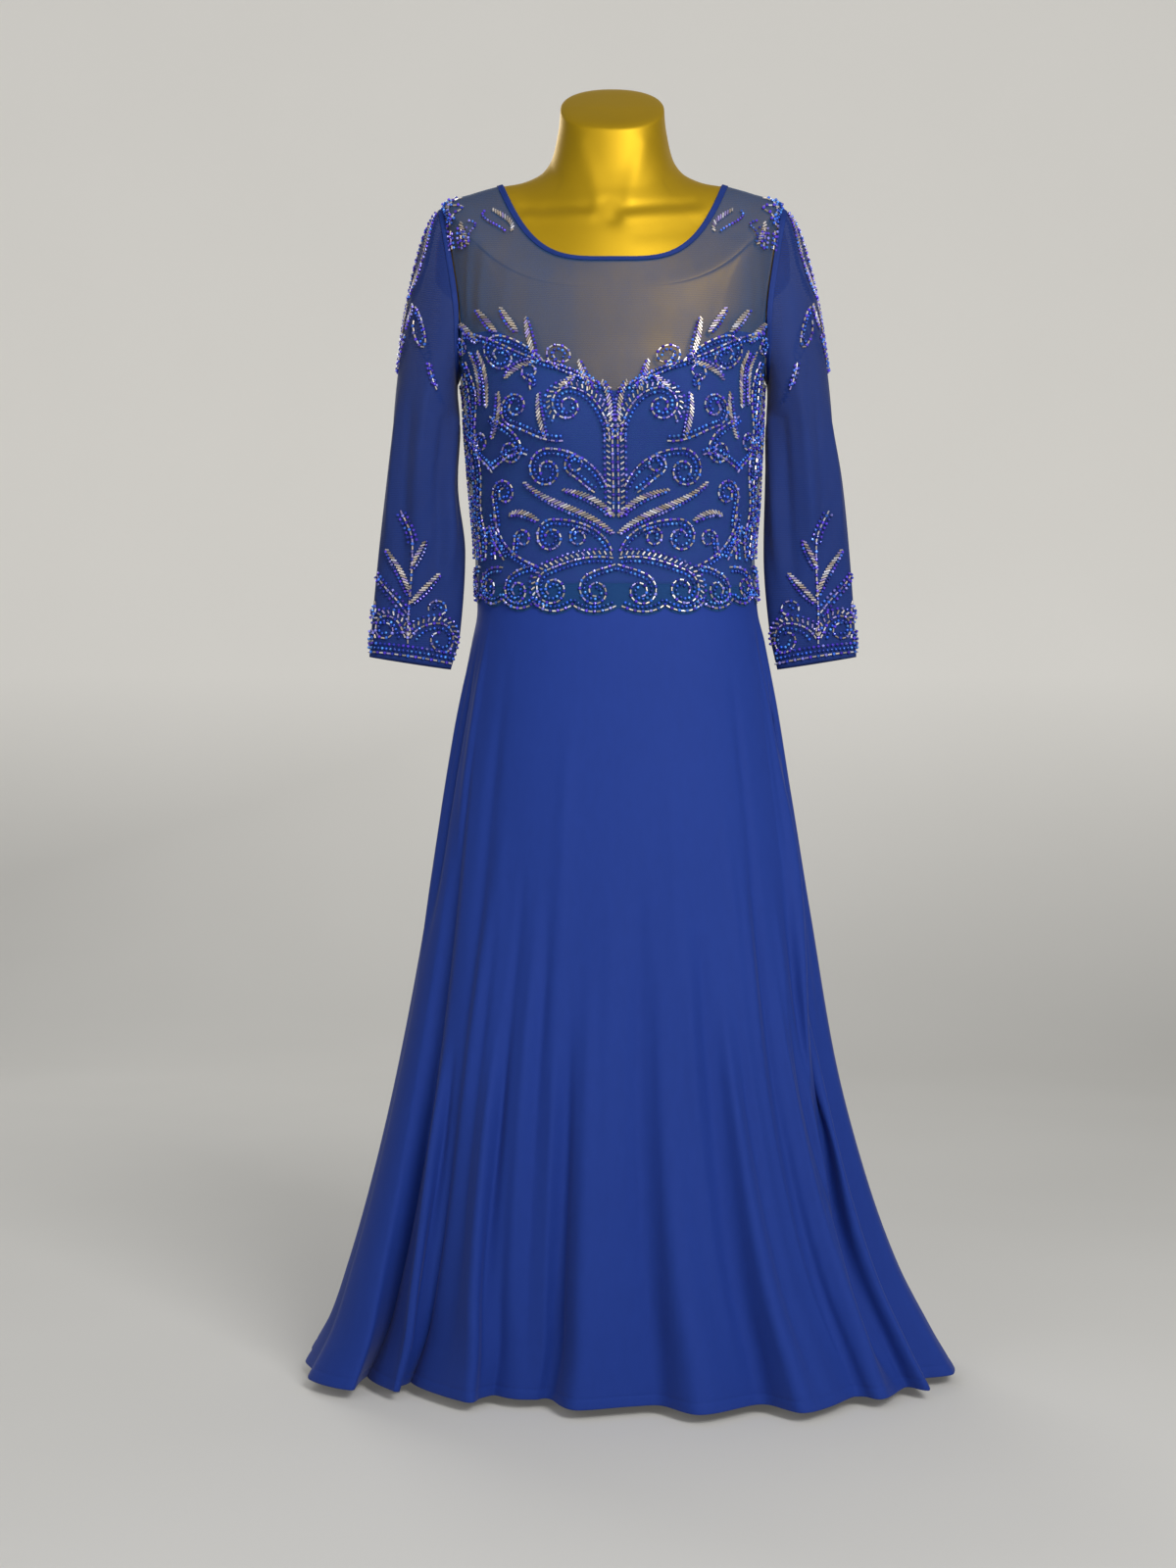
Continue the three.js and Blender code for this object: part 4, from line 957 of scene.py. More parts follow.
def sleeve(name, side):
    """A sheer sleeve from its armhole binding to a narrow turned hem at the cuff."""
    surface = SLEEVES[name]
    share = np.linspace(0, 1, 97)[None, :-1]
    first = way_at_distance(surface, share, ARMHOLE_BINDING_WIDTH - 1.0)
    head = first + (1 - first) * np.linspace(0, 1, 46)[:-1, None] ** 1.1
    arm = np.concatenate([np.linspace(1, 2, 90), CUFF_TURNED])[:, None]
    ways = np.concatenate([head, np.broadcast_to(arm, (len(arm), share.shape[1]))])
    outs = np.zeros(ways.shape)
    outs[-len(CUFF_TURNED):] = -CUFF_TURNED_IN
    points = surface.out(np.broadcast_to(share, ways.shape), ways, outs)
    return single_sheet(
        "sheer_sleeve_" + name, points, SLEEVE_MESH, ["sleeve_" + name], closed=True, flipped=side > 0
    )


# The zip

ZIP_SINKS = 1.5  # how much lower the zip lies under the waist, where no bodice lies under it
# Across the closed zip: how far each point lies to the side, and how high over the figure.
ZIP_OUTLINE = [
    (-2.5, 1.3), (-2.2, 2.5), (-1.5, 2.9), (-0.7, 2.7), (-0.25, 2.1), (0, 1.5), (0.25, 2.1), (0.7, 2.7),
    (1.5, 2.9), (2.2, 2.5), (2.5, 1.3),
]


def zip_placket():
    """The two folds of cloth that meet over the concealed zip, from the neck to below the waist."""
    levels = np.linspace(ZIP_END + 1, NECKLINE - 2, 260)[:, None]
    outline = np.array(ZIP_OUTLINE)
    reach = np.abs(outline[:, 0])[None, :]
    turn = beside(np.maximum(reach, 1e-4), levels, "half") * np.sign(-outline[:, 0])[None, :]
    drop = np.where(levels < WAIST_SEAM - 4, ZIP_SINKS, 0.0)
    front = FIGURE.out(180 + turn, levels, outline[None, :, 1] - drop)
    back = FIGURE.out(180 + turn, levels, 0.4)
    rings = np.concatenate([front, back[:, ::-1]], 1)
    return tube("zip_placket", rings, BINDING, ["back_zip"])


# The beading


class Ground:
    """Cloth that beads are sewn to, unrolled flat: a place is given in millimetres round it and up it.
    hand is 1 where up lies to the left of round as seen from outside, and -1 where it lies to the right."""

    def __init__(self, surface, unroll, out, hand):
        self.surface, self.unroll, self.out, self.hand = surface, unroll, out, hand

    def lay(self, path):
        a, b = self.unroll(path[:, 0], path[:, 1])
        return self.surface.out(a, b, self.out), self.surface.normal(a, b)


UNROLLED_AT = 1050  # the level whose round is the measure for the whole bodice
EDGE_MEASURED_AT = 925  # the height at which the scallops are found


def bodice_ground(behind):
    middle, sign = (180, -1) if behind else (0, 1)
    turns = np.linspace(0, 100, 401)
    ring = figure(middle + sign * turns, UNROLLED_AT)
    run = np.concatenate([[0], np.cumsum(np.linalg.norm(np.diff(ring, axis=0), axis=1))])

    def unroll(u, height):
        angle = middle + sign * np.sign(u) * np.interp(np.abs(u), run, turns)
        level = np.array(height, float)
        for _ in range(30):
            level = level + 0.6 * (height - figure(angle, level)[..., 2])
        return angle, level

    return Ground(OVERLAY, unroll, MESH_OUT, sign)


def sleeve_ground(name, side, from_hem):
    """Round is measured from the sleeve's outer edge towards the front, and up from its hem or, with numbers
    below nought, from the shoulder tip."""
    surface = SLEEVES[name]
    ways = np.linspace(0, 2, 401)
    edge = surface.at(np.full(401, 0.5), ways)
    run = np.concatenate([[0], np.cumsum(np.linalg.norm(np.diff(edge, axis=0), axis=1))])
    rings = surface.at(np.linspace(0, 1, 97)[None, :], ways[:, None])
    girth = np.linalg.norm(np.diff(rings, axis=1), axis=2).sum(1)
    start = run[-1] if from_hem else 0

    def unroll(u, up):
        way = np.interp(start - up, run, ways)
        return 0.5 - u / np.interp(way, ways, girth), way

    return Ground(surface, unroll, 0.2, -side)


CURL_POINTS = 180


def curl(cu, cv, big, small, start, turn):
    """A path that curls inwards round a middle, from a big to a small radius."""
    t = np.linspace(0, 1, CURL_POINTS)
    radius = big * (small / big) ** t
    around = np.radians(start + turn * t)
    return np.stack([cu + radius * np.cos(around), cv + radius * np.sin(around)], -1)


def curve(start, leave, end, arrive):
    """A path between two places with its headings at both, in degrees."""
    start, end = np.array(start, float), np.array(end, float)
    reach = np.linalg.norm(end - start) * 1.1
    out, into = (np.array([math.cos(math.radians(a)), math.sin(math.radians(a))]) for a in (leave, arrive))
    t = np.linspace(0, 1, 90)[:, None]
    path = start * (1 + 2 * t) * (1 - t) ** 2 + end * t * t * (3 - 2 * t)
    return path + reach * (out * t * (1 - t) ** 2 - into * t * t * (1 - t))


def through(places):
    """A path through places that each give their round, height and heading."""
    legs = [curve(a[:2], a[2], b[:2], b[2]) for a, b in zip(places, places[1:])]
    return np.concatenate([legs[0], *[leg[1:] for leg in legs[1:]]])


SWAY_LONG = 84


def swaying(u, low, high, sway, phase):
    """A line down the cloth that sways from side to side."""
    v = np.linspace(high, low, 120)
    return np.stack([u + sway * np.sin(v * (2 * math.pi / SWAY_LONG) + phase), v], -1)


def beside_path(path, gap):
    """The path, moved to its left by a gap, which may change on the way."""
    ahead = np.gradient(path, axis=0)
    ahead /= np.maximum(np.linalg.norm(ahead, axis=1, keepdims=True), 1e-9)
    left = np.stack([-ahead[:, 1], ahead[:, 0]], -1)
    return path + left * np.reshape(gap, (-1, 1))


def fullness(share):
    """How full a leaf is on its way from stalk to tip, from 0 to 1."""
    return np.sin(np.pi * share**0.8) ** 0.8


# The beads' colours: red, green, blue and the share of the beads that have that colour.
TONES = {
    "champagne": [
        (0.66, 0.6, 0.56, 0.4),
        (0.6, 0.5, 0.4, 0.26),
        (0.4, 0.33, 0.66, 0.18),
        (0.74, 0.73, 0.78, 0.16),
    ],
    "violet": [
        (0.1, 0.05, 0.7, 0.4),
        (0.03, 0.05, 0.5, 0.25),
        (0.06, 0.2, 0.85, 0.2),
        (0.3, 0.3, 0.9, 0.15),
    ],
    # The round beads are royal blue; their pale sky-blue share is painted highlight, the colour of a glint on
    # the glass.
    "royal": [(0.02, 0.12, 0.75, 0.5), (0.08, 0.32, 0.95, 0.25), (0.01, 0.04, 0.4, 0.25)],
}
BUGLE_LONG, BUGLE_THICK, FACET_SIZE, ROUND_SIZE = 4.6, 2.0, 4.1, 3.8
LINE_PITCH, ROUND_PITCH, INNER_GAP = 9.2, 5.0, 5.2
FRILL_PITCH, FRILL_GAP, FRILL_TIP = 6.4, 4.9, 9
LEAF_PITCH, LEAF_END = 3.8, 4  # from bugle to bugle of a leaf, and their length at its ends
SLANTED_THICK, SMALL_FACET = 2.1, 3.6

PRISM_TURNS = np.radians(np.arange(6) * 60)
BUGLE_POINTS = np.array(
    [[x, math.cos(a) * 0.5, math.sin(a) * 0.5] for x in (-0.5, 0.5) for a in PRISM_TURNS]
)
BUGLE_FACES = [[i, (i + 1) % 6, (i + 1) % 6 + 6, i + 6] for i in range(6)]
BUGLE_FACES += [list(range(5, -1, -1)), list(range(6, 12))]
GOLDEN = (1 + math.sqrt(5)) / 2


def icosahedron():
    """The corners and faces of a bead cut with twenty facets, half a unit in radius."""
    corners = []
    for one in (-1, 1):
        for far in (-GOLDEN, GOLDEN):
            corners += [(0, one, far), (one, far, 0), (far, 0, one)]
    points = np.array(corners, float)
    gaps = np.linalg.norm(points[:, None] - points[None], axis=2)
    near = np.abs(gaps - 2) < 0.01
    faces = []
    for i in range(12):
        for j in range(i + 1, 12):
            for k in range(j + 1, 12):
                if near[i, j] and near[j, k] and near[i, k]:
                    side = np.dot(np.cross(points[j] - points[i], points[k] - points[i]), points[i])
                    faces.append([i, j, k] if side > 0 else [i, k, j])
    return points / np.linalg.norm(points[0]) / 2, faces


BEAD_POINTS, BEAD_FACES = icosahedron()
# Each kind of bead: its points, its faces, its finish and whether it is round.
BEAD_KINDS = {
    "bugles": (BUGLE_POINTS, BUGLE_FACES, SILVER, False),
    "facets": (BEAD_POINTS, BEAD_FACES, BLUE, False),
    "rounds": (BEAD_POINTS, BEAD_FACES, BLUE, True),
}


class Beadwork:
    """The beads on one stretch of cloth, sewn line by line, each line with its mirror image."""

    def __init__(self, ground):
        self.ground = ground
        self.placed = {kind: [] for kind in BEAD_KINDS}

    def stops(self, path, first, pitch):
        """Places a pitch apart along a path and its mirror image, with the path's direction, what lies to its
        left, the normal and the share of the way."""
        found = []
        for sign in (1, -1):
            points, normals = self.ground.lay(path * [sign, 1])
            run = np.concatenate([[0], np.cumsum(np.linalg.norm(np.diff(points, axis=0), axis=1))])
            at = np.arange(first, run[-1], pitch)
            point, ahead, normal = (
                np.stack([np.interp(at, run, values[:, i]) for i in range(3)], -1)
                for values in (points, np.gradient(points, axis=0), normals)
            )
            normal /= np.linalg.norm(normal, axis=1, keepdims=True)
            ahead -= normal * np.sum(ahead * normal, 1, keepdims=True)
            ahead /= np.maximum(np.linalg.norm(ahead, axis=1, keepdims=True), 1e-9)
            left = np.cross(normal, ahead) * sign * self.ground.hand
            found.append((point, ahead, left, normal, at / run[-1]))
        return [np.concatenate(values) for values in zip(*found)]

    def sew(self, kind, tones, point, along, normal, long, thick):
        count = len(point)
        table = np.array(TONES[tones])
        tone = table[rng.choice(len(table), count, p=table[:, 3]), :3] * rng.uniform(0.45, 1.25, (count, 1))
        long, thick = np.broadcast_to(long, count), np.broadcast_to(thick, count)
        lifted = point + normal * (thick / 2)[:, None]
        self.placed[kind].append((lifted, along, normal, long, thick, tone))

    def row(self, kind, tones, path, pitch, size, first=0.5):
        """Single beads in a row. first is the share of the pitch that lies before the first one."""
        point, ahead, _, normal, _ = self.stops(path, first * pitch, pitch)
        self.sew(kind, tones, point, ahead, normal, size, size)

    def rounds(self, path):
        self.row("rounds", "royal", path, ROUND_PITCH, ROUND_SIZE)

    def line(self, path):
        """Bugles and faceted beads by turns."""
        point, ahead, _, normal, _ = self.stops(path, 0.3 * LINE_PITCH, LINE_PITCH)
        self.sew("bugles", "champagne", point, ahead, normal, BUGLE_LONG, BUGLE_THICK)
        self.row("facets", "violet", path, LINE_PITCH, FACET_SIZE, 0.8)

    def frill(self, path, side):
        """Short bugles that stand off a line to one side, each with a faceted bead at its tip."""
        point, ahead, left, normal, _ = self.stops(beside_path(path, side * FRILL_GAP), 4, FRILL_PITCH)
        along = ahead * 0.5 + left * side * 0.85
        self.sew("bugles", "champagne", point, along, normal, BUGLE_LONG, SLANTED_THICK)
        self.row("facets", "violet", beside_path(path, side * FRILL_TIP), FRILL_PITCH, SMALL_FACET)

    def leaf(self, path, wide, edge):
        """A leaf of bugles laid slantwise side by side, with faceted beads along one edge."""
        point, ahead, left, normal, share = self.stops(path, 1.0, LEAF_PITCH)
        width = LEAF_END + (wide - LEAF_END) * fullness(share)
        along = ahead * 0.72 + left * edge * 0.69
        self.sew("bugles", "champagne", point, along, normal, width, SLANTED_THICK)
        gap = edge * (1.8 + 0.42 * wide * fullness(np.linspace(0, 1, len(path))))
        self.row("facets", "violet", beside_path(path, gap), 4.4, SMALL_FACET)

    def sprig(self, path):
        """A twig of bugles with faceted beads to the left and right of it."""
        self.line(path)
        for side, first in ((1, 0.2), (-1, 0.7)):
            self.row("facets", "violet", beside_path(path, side * 4.4), 5.8, 3.7, first)

    def scroll(self, u, v, leave, cu, cv, big, small, start, turn, frill=0):
        """A stem that runs into a curl, with round beads along its inside."""
        end = curl(cu, cv, big, small, start, turn)
        stem = curve((u, v), leave, end[0], start + math.copysign(90, turn))
        path = np.concatenate([stem[:-1], end])
        self.line(path)
        roomy = big * (small / big) ** np.linspace(0, 1, CURL_POINTS) > 9
        self.rounds(beside_path(path, math.copysign(INNER_GAP, turn))[: len(stem) + roomy.sum()])
        if frill:
            self.frill(path[: len(stem) + 50], -math.copysign(1, turn))

    def ringlet(self, cu, cv, big, small, start, turn):
        """A curl with no stem, with round beads inside."""
        path = curl(cu, cv, big, small, start, turn)
        self.line(path)
        self.rounds(beside_path(path, math.copysign(INNER_GAP, turn))[:110])

    def medallion(self, cu, cv, radius):
        self.line(curl(cu, cv, radius, radius, 0, 360))
        self.rounds(curl(cu, cv, radius * 0.5, radius * 0.5, 0, 360))

    def make(self, name):
        made = []
        for kind, (shape, faces, finish, soft) in BEAD_KINDS.items():
            point, along, normal, long, thick, tone = (np.concatenate(v) for v in zip(*self.placed[kind]))
            along = along / np.linalg.norm(along, axis=1, keepdims=True)
            across = np.cross(normal, along)
            frames = np.stack([along * long[:, None], across * thick[:, None], normal * thick[:, None]], 1)
            points = point[:, None, :] + np.einsum("vk,nkx->nvx", shape, frames)
            starts = np.arange(len(point)) * len(shape)
            all_faces = [[start + i for i in face] for start in starts.tolist() for face in faces]
            beads = piece(name + "_" + kind, points, all_faces, finish, soft=soft)
            layer = beads.data.color_attributes.new("tone", "FLOAT_COLOR", "POINT")
            shades = np.repeat(np.concatenate([tone, np.ones((len(tone), 1))], 1), len(shape), 0)
            layer.data.foreach_set("color", shades.astype(np.float32).ravel())
            made.append(beads)
        return made


# The scrolls, from the middle outwards: where the stem starts, its heading, the curl's middle, its first and
# last radius, the angle where it starts, how far it turns, and 1 where a frill stands off it.
FRONT_SCROLLS = [
    [10, 1040, 68, 78, 1060, 24, 7, 90, -500, 0],
    [6, 1092, 88, 52, 1130, 21, 6, 90, -500, 1],
    [58, 1092, -5, 112, 1132, 21, 6, -70, 500, 0],
    [24, 1034, 30, 46, 1066, 12, 6, -60, 420, 0],
    [76, 1184, 60, 122, 1194, 24, 7, 100, -480, 0],
    [20, 1150, 60, 56, 1190, 15, 7, -30, 420, 0],
    [5, 968, 70, 76, 984, 21, 7, 90, -460, 0],
    [30, 990, 30, 44, 984, 11, 6, 80, -400, 0],
    [3, 959, 10, 76, 924, 23, 8, 70, -470, 1],
    [1, 952, -20, 26, 921, 21, 6, 60, -500, 0],
    [94, 951, 5, 122, 924, 20, 6, 60, -480, 0],
    [142, 952, 10, 168, 931, 18, 6, 60, -470, 0],
    [188, 956, 10, 210, 938, 15, 6, 60, -450, 0],
    [128, 962, 100, 112, 984, 12, 5, 0, 420, 0],
    [150, 1000, 95, 134, 1037, 18, 6, 0, 460, 0],
    [148, 1126, 215, 122, 1084, 15, 6, 180, 440, 0],
    [92, 1150, 10, 92, 1172, 11, 5, -80, 380, 0],
    [150, 1062, 60, 166, 1098, 14, 6, -30, 420, 0],
    [154, 962, 80, 164, 990, 13, 6, 180, -420, 0],
    [184, 1000, 60, 200, 1030, 13, 6, -30, 420, 0],
    [184, 1056, 60, 200, 1078, 12, 6, -30, 400, 0],
    [184, 1096, 60, 200, 1124, 13, 6, -30, 420, 0],
    [190, 966, 70, 200, 988, 11, 6, 180, -400, 0],
]
# The leaves, each from a place and heading to another, then its width and the side of its blue edge.
FRONT_LEAVES = [
    [(3, 988, 42), (106, 1048, 43), 9, -1],
    [(3, 1008, 48), (60, 1038, 10), 8.5, -1],
    [(84, 1190, 92), (86, 1236, 88), 8.5, 1],
    [(96, 1220, 66), (112, 1250, 60), 8, -1],
    [(120, 1222, 56), (140, 1250, 45), 8, -1],
    [(146, 1214, 52), (168, 1238, 30), 8, -1],
    [(27, 1150, 62), (38, 1184, 80), 7.5, 1],
    [(4, 1114, 88), (14, 1160, 66), 7.5, 1],
    [(86, 1184, -15), (124, 1166, -45), 8.5, 1],
    [(150, 1203, -92), (152, 1136, -88), 7.5, 1],
    [(162, 1204, -88), (165, 1140, -92), 7, -1],
    [(78, 1096, 70), (84, 1146, 100), 7.5, 1],
    [(92, 1004, 40), (130, 1012, -30), 7.5, -1],
    [(134, 1152, -100), (146, 1100, -60), 7.5, 1],
    [(60, 1150, 120), (44, 1166, 150), 7, 1],
]
# Lines through places with headings.
FRONT_LINES = [
    [(152, 1016, -90), (94, 951, 200)],
    [(140, 960, 60), (160, 1000, 90)],
    [(100, 1078, 30), (150, 1066, -20)],
]
# Swaying lines at the sides: round, lower and upper end, sway and phase.
FRONT_COLUMNS = [
    [174, 962, 1196, 3, 0.4],
    [186, 964, 1184, 3, 2.0],
    [216, 968, 1176, 2, 4.1],
]
BACK_SCROLLS = [
    [13, 1034, 62, 74, 1060, 23, 7, 90, -500, 0],
    [13, 1092, 80, 54, 1130, 20, 6, 90, -500, 1],
    [60, 1092, -5, 112, 1130, 20, 6, -70, 500, 0],
    [26, 1034, 30, 46, 1064, 12, 6, -60, 420, 0],
    [13, 972, 66, 78, 988, 20, 7, 90, -460, 0],
    [32, 992, 30, 44, 990, 11, 6, 80, -400, 0],
    [13, 960, 10, 76, 932, 20, 8, 70, -470, 1],
    [12, 951, -20, 30, 931, 17, 6, 60, -480, 0],
    [94, 954, 5, 120, 933, 18, 6, 60, -480, 0],
    [140, 956, 10, 164, 938, 16, 6, 60, -470, 0],
    [184, 960, 10, 205, 943, 14, 6, 60, -450, 0],
    [128, 966, 100, 112, 990, 12, 5, 0, 420, 0],
    [150, 1000, 95, 134, 1037, 18, 6, 0, 460, 0],
    [148, 1124, 215, 122, 1082, 14, 6, 180, 440, 0],
    [150, 1062, 60, 166, 1098, 14, 6, -30, 420, 0],
    [154, 966, 80, 164, 992, 13, 6, 180, -420, 0],
    [184, 1000, 60, 200, 1030, 13, 6, -30, 420, 0],
    [184, 1056, 60, 200, 1078, 12, 6, -30, 400, 0],
    [184, 1096, 60, 200, 1124, 13, 6, -30, 420, 0],
    [112, 1158, 20, 134, 1160, 12, 6, 90, -400, 0],
]
BACK_LEAVES = [
    [(13, 992, 42), (104, 1046, 43), 9, -1],
    [(13, 1010, 48), (58, 1036, 10), 8.5, -1],
    [(16, 1120, 88), (28, 1168, 70), 7.5, 1],
    [(50, 1190, 92), (54, 1230, 84), 8, 1],
    [(82, 1190, 80), (92, 1232, 70), 8, -1],
    [(112, 1190, 66), (132, 1230, 60), 8, -1],
    [(78, 1096, 70), (84, 1150, 100), 7.5, 1],
    [(92, 1006, 40), (130, 1014, -30), 7.5, -1],
    [(150, 1176, -92), (152, 1132, -88), 7.5, 1],
]
BACK_LINES = [
    [(9, 1182, 0), (158, 1184, 0)],
    [(152, 1016, -90), (94, 954, 200)],
    [(100, 1078, 30), (150, 1066, -20)],
]
BACK_COLUMNS = [
    [174, 966, 1188, 3, 0.4],
    [186, 968, 1182, 3, 2.0],
    [214, 972, 1176, 2, 4.1],
]
# The shoulders of the front and back carry the same motif.
SHOULDER_LINES = [[(206, 1391, 230), (176, 1362, 215)], [(222, 1384, 150), (205, 1392, 160)]]
SHOULDER_RINGLETS = [[194, 1366, 15, 9, 70, 300]]
SHOULDER_LEAVES = [
    [(172, 1372, 220), (142, 1343, 235), 7.5, 1],
    [(168, 1356, 240), (152, 1328, 245), 7.5, -1],
]
SHOULDER_SPRIGS = [[(164, 1350, -80), (160, 1322, -95)], [(182, 1350, -80), (178, 1326, -95)]]

# The sleeves: round from the outer edge towards the front and back, and down from the shoulder tip.
HEAD_EDGE = [(3, -8, -90), (2, -90, -90), (1, -176, -92)]
HEAD_LEAVES = [
    [(18, -10, -62), (34, -66, -100), 8.5, 1],
    [(34, -66, -100), (16, -116, -110), 8.5, 1],
    [(34, -116, -95), (26, -152, -85), 7, 1],
    [(12, -124, -95), (6, -172, -95), 7.5, -1],
]
HEAD_RINGLET = [54, -130, 21, 11, 130, -330]
HEAD_SPRIGS = [[(80, -150, -80), (90, -188, -70)], [(24, -158, -110), (8, -206, -110)]]
# The cuffs: round the same way, and up from the hem.
CUFF_STEM = [(54, 20, 90), (58, 134, 90)]
CUFF_LEAVES = [
    [(56, 74, 102), (28, 128, 130), 8, 1],
    [(57, 66, 58), (84, 102, 48), 7.5, -1],
    [(57, 104, 80), (70, 138, 70), 7, -1],
]
CUFF_SPRIGS = [[(53, 54, 120), (12, 98, 140)], [(58, 134, 92), (44, 170, 118)]]
CUFF_SCROLLS = [[56, 26, 70, 84, 28, 18, 8, 90, -360, 1], [52, 26, 110, 32, 34, 16, 7, 60, 400, 1]]
CUFF_RINGLETS = [[5, 56, 12, 8, 60, -260], [82, 62, 10, 6, 200, -300], [8, 22, 11, 6, 0, 400]]
CUFF_HEM = [(0, 6, 0), (54, 7, 0), (104, 6, 0)]


def scalloped_edge(ground):
    """The line along the beaded bodice's lower edge, a little inside it."""
    along = np.linspace(3, 221, 420)
    angle, _ = ground.unroll(along, np.full(420, float(EDGE_MEASURED_AT)))
    return np.stack([along, scallop_level(angle) + 4], -1)


def bodice_beads(ground, scrolls, leaves, lines, columns):
    work = Beadwork(ground)
    for row in scrolls:
        work.scroll(*row)
    for row in SHOULDER_RINGLETS:
        work.ringlet(*row)
    for start, end, wide, edge in leaves + SHOULDER_LEAVES:
        work.leaf(through([start, end]), wide, edge)
    for row in lines + SHOULDER_LINES:
        work.line(through(row))
        work.rounds(beside_path(through(row), INNER_GAP))
    for row in columns:
        work.line(swaying(*row))
        work.rounds(beside_path(swaying(*row), INNER_GAP))
    for row in SHOULDER_SPRIGS:
        work.sprig(through(row))
    edge = scalloped_edge(ground)
    work.line(edge)
    work.rounds(beside_path(edge, INNER_GAP))
    work.medallion(174, 1213, 8.5)
    return work


def front_beads():
    """The beads of the front, with the beaded edge of the under-bodice and the stems in the middle."""
    work = bodice_beads(FRONT, FRONT_SCROLLS, FRONT_LEAVES, FRONT_LINES, FRONT_COLUMNS)
    across = np.linspace(3, 142, 120)
    edge = np.stack([across * (1 + 0.16 * (across / 140) ** 2), SWEETHEART("height", across) + 1], -1)
    work.line(edge)
    work.rounds(beside_path(edge, -INNER_GAP))
    stem = through([(3, 1006, 90), (3, 1112, 90)])
    work.line(stem)
    work.frill(stem, -1)
    return work.make("beads_front")


def sleeve_beads(name, side):
    work = Beadwork(sleeve_ground(name, side, False))
    work.line(through(HEAD_EDGE))
    work.row("facets", "violet", beside_path(through(HEAD_EDGE), 5), 5.2, 3.3)
    work.ringlet(*HEAD_RINGLET)
    for start, end, wide, edge in HEAD_LEAVES:
        work.leaf(through([start, end]), wide, edge)
    for row in HEAD_SPRIGS:
        work.sprig(through(row))
    work.ground = sleeve_ground(name, side, True)
    work.line(through(CUFF_STEM))
    work.line(through(CUFF_HEM))
    work.rounds(beside_path(through(CUFF_HEM), INNER_GAP))
    work.row("facets", "violet", beside_path(through(CUFF_HEM), 2 * INNER_GAP), 5.6, 3.8)
    for start, end, wide, edge in CUFF_LEAVES:
        work.leaf(through([start, end]), wide, edge)
    for row in CUFF_SPRIGS:
        work.sprig(through(row))
    for row in CUFF_SCROLLS:
        work.scroll(*row)
    for row in CUFF_RINGLETS:
        work.ringlet(*row)
    return work.make("beads_sleeve_" + name)


# The gown is put together

form_torso()
for part, finish in (("stand_pole", STEEL), ("stand_foot", STEEL), ("zip_slider", ZIP), ("zip_pull", ZIP)):
    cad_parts[part].data.materials.clear()
    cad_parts[part].data.materials.append(finish.material)

FRONT, BACK = bodice_ground(False), bodice_ground(True)
back_work = bodice_beads(BACK, BACK_SCROLLS, BACK_LEAVES, BACK_LINES, BACK_COLUMNS)
front_pieces = front_beads()
back_pieces = back_work.make("beads_back")


trimmings = {"front": front_pieces, "back_right": [*back_pieces, zip_placket()], "back_left": []}
for span in SPANS:
    under = under_panel(span)
    sheer = sheer_panel(span)
    edge = neck_binding(span)
    skirt_panel(span)
for name, side in (("left", -1), ("right", 1)):
    edge = armhole_binding(name, side)
    sleeve(name, side)
    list(sleeve_beads(name, side))


# The studio

WALL_Y, WALL_TOP, WALL_HALF, FLOOR_NEAR, BEND = 4.4, 5.5, 7, -5.0, 1.8  # in metres


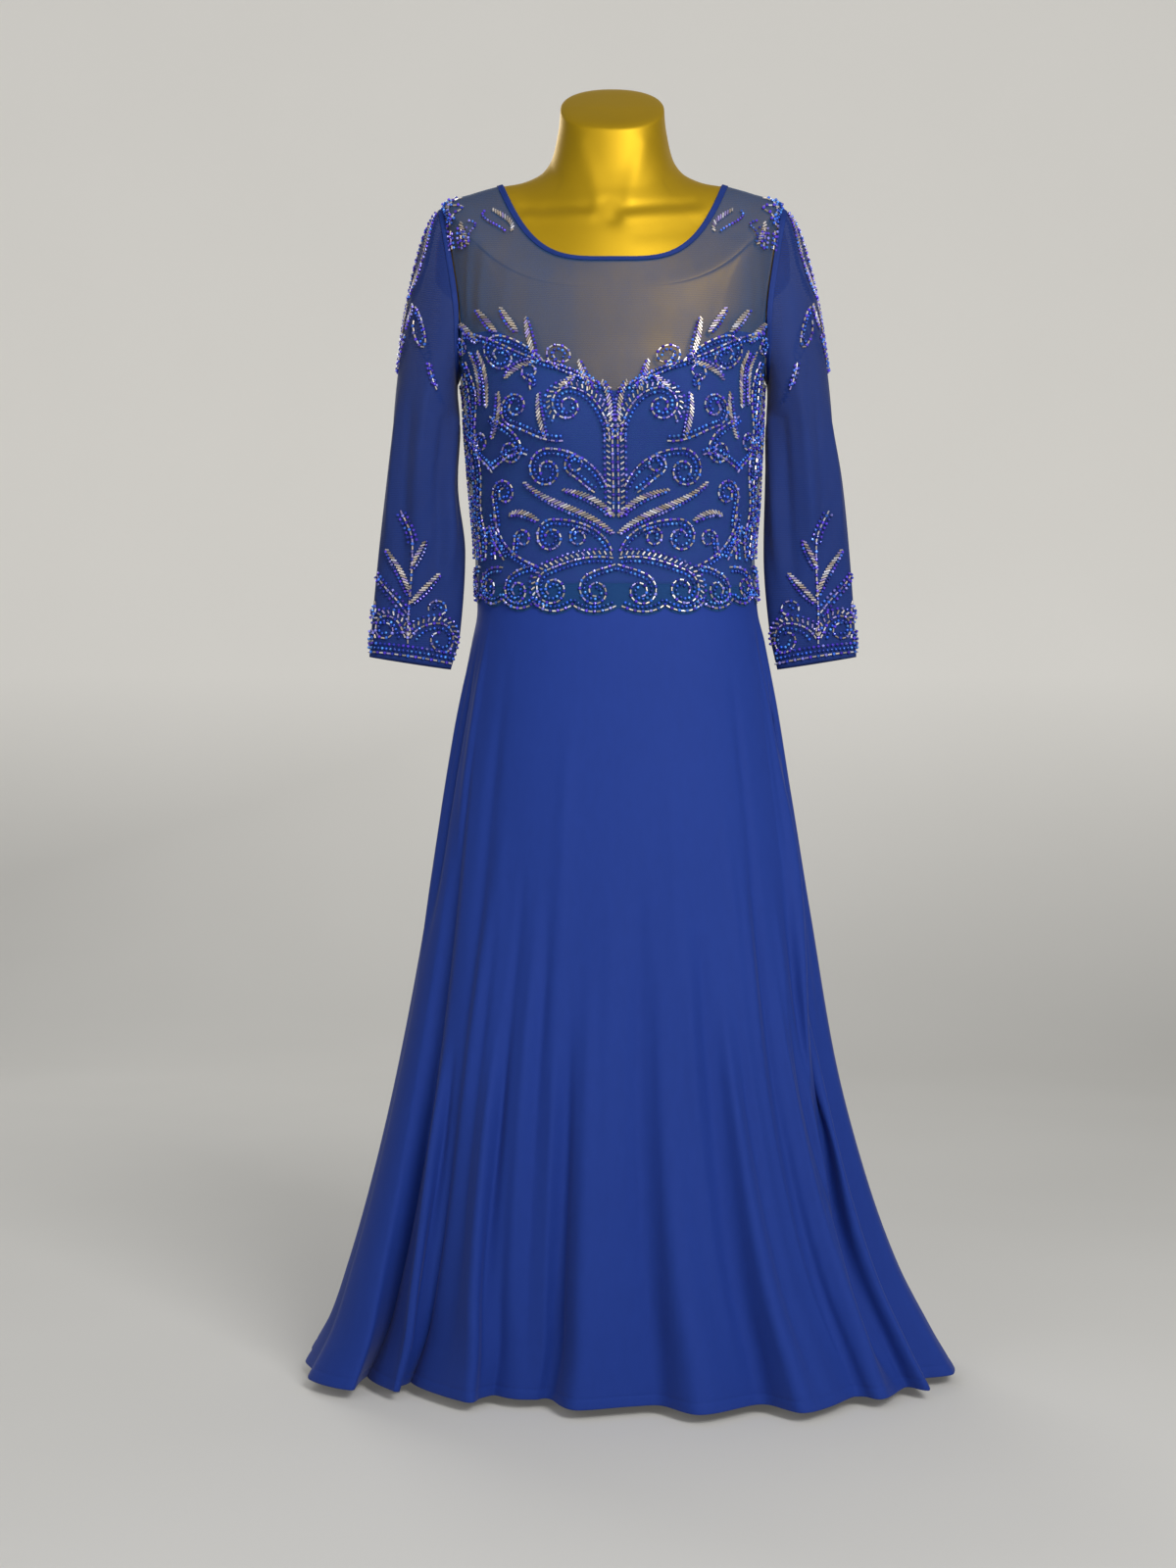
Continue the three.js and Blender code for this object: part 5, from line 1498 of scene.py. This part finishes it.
def backdrop():
    """Pale cloth that hangs far behind the gown and sweeps forward as the floor. It glows with painted light
    of its own, brighter higher up.
    """
    turn = np.linspace(0, math.pi / 2, 16)
    profile = [(FLOOR_NEAR, 0.0)] + [
        (WALL_Y - BEND + BEND * math.sin(a), BEND - BEND * math.cos(a)) for a in turn
    ]
    profile += [(WALL_Y, WALL_TOP)]
    points = np.array([[(x, y, z) for x in (-WALL_HALF, WALL_HALF)] for y, z in profile]) / MM
    finish = Finish("backdrop", "", Roughness=0.95, Emission_Strength=1.0)
    shade = finish.noise(1.4, 2)
    # Painted light: the cloth glows by itself, dimmer near the floor and brighter higher up.
    painted_glow = finish.axis("Z") * 0.75 + 0.22
    finish.set(
        Base_Color=finish.mixed(shade, (0.5, 0.49, 0.462), (0.56, 0.548, 0.52)),
        Emission_Color=finish.mixed(painted_glow, (0.0, 0.0, 0.0), (0.375, 0.362, 0.335)),
    )
    mesh = bpy.data.meshes.new("backdrop")
    mesh.from_pydata((points.reshape(-1, 3) * MM).tolist(), [], grid_faces(len(profile), 2))
    mesh.polygons.foreach_set("use_smooth", [True] * len(mesh.polygons))
    mesh.materials.append(finish.material)
    made = bpy.data.objects.new("backdrop", mesh)
    bpy.context.scene.collection.objects.link(made)


def soft_box(name, place, aim, wide, tall, watts):
    """A wide soft light that points from its place to its aim."""
    light = bpy.data.lights.new(name, "AREA")
    light.shape = "RECTANGLE"
    light.size, light.size_y, light.energy = wide, tall, watts
    made = bpy.data.objects.new(name, light)
    bpy.context.scene.collection.objects.link(made)
    made.location = place
    made.visible_camera = False
    away = np.array(place) - np.array(aim)
    made.rotation_euler = (
        math.atan2(math.hypot(away[0], away[1]), away[2]),
        0,
        math.atan2(away[0], -away[1]),
    )


backdrop()
soft_box("key", (1.3, -2.7, 2.4), (0, 0, 0.8), 1.35, 1.35, 84)
soft_box("fill", (-1.9, -2.8, 1.7), (0, 0, 0.8), 1.4, 1.8, 18)
soft_box("back", (-1.4, 2.9, 2.4), (0, 0, 0.9), 1.6, 1.6, 34)
soft_box("top", (0.3, -1.7, 3.0), (0, 0.1, 1.0), 1.6, 1.0, 9)

world = bpy.data.worlds.new("studio")
bpy.context.scene.world = world
world.use_nodes = True
around = world.node_tree.nodes["Background"].inputs
around["Color"].default_value = (0.9, 0.94, 1.0, 1)
around["Strength"].default_value = 0.22
bpy.context.scene.view_settings.view_transform = "Standard"

lens = bpy.data.cameras.new("camera")
lens.lens, lens.sensor_width = 50, 36
camera = bpy.data.objects.new("camera", lens)
bpy.context.scene.collection.objects.link(camera)
camera.location = (-0.029, -2.6, 0.701)
camera.rotation_euler = (math.pi / 2, 0, 0)
bpy.context.scene.camera = camera
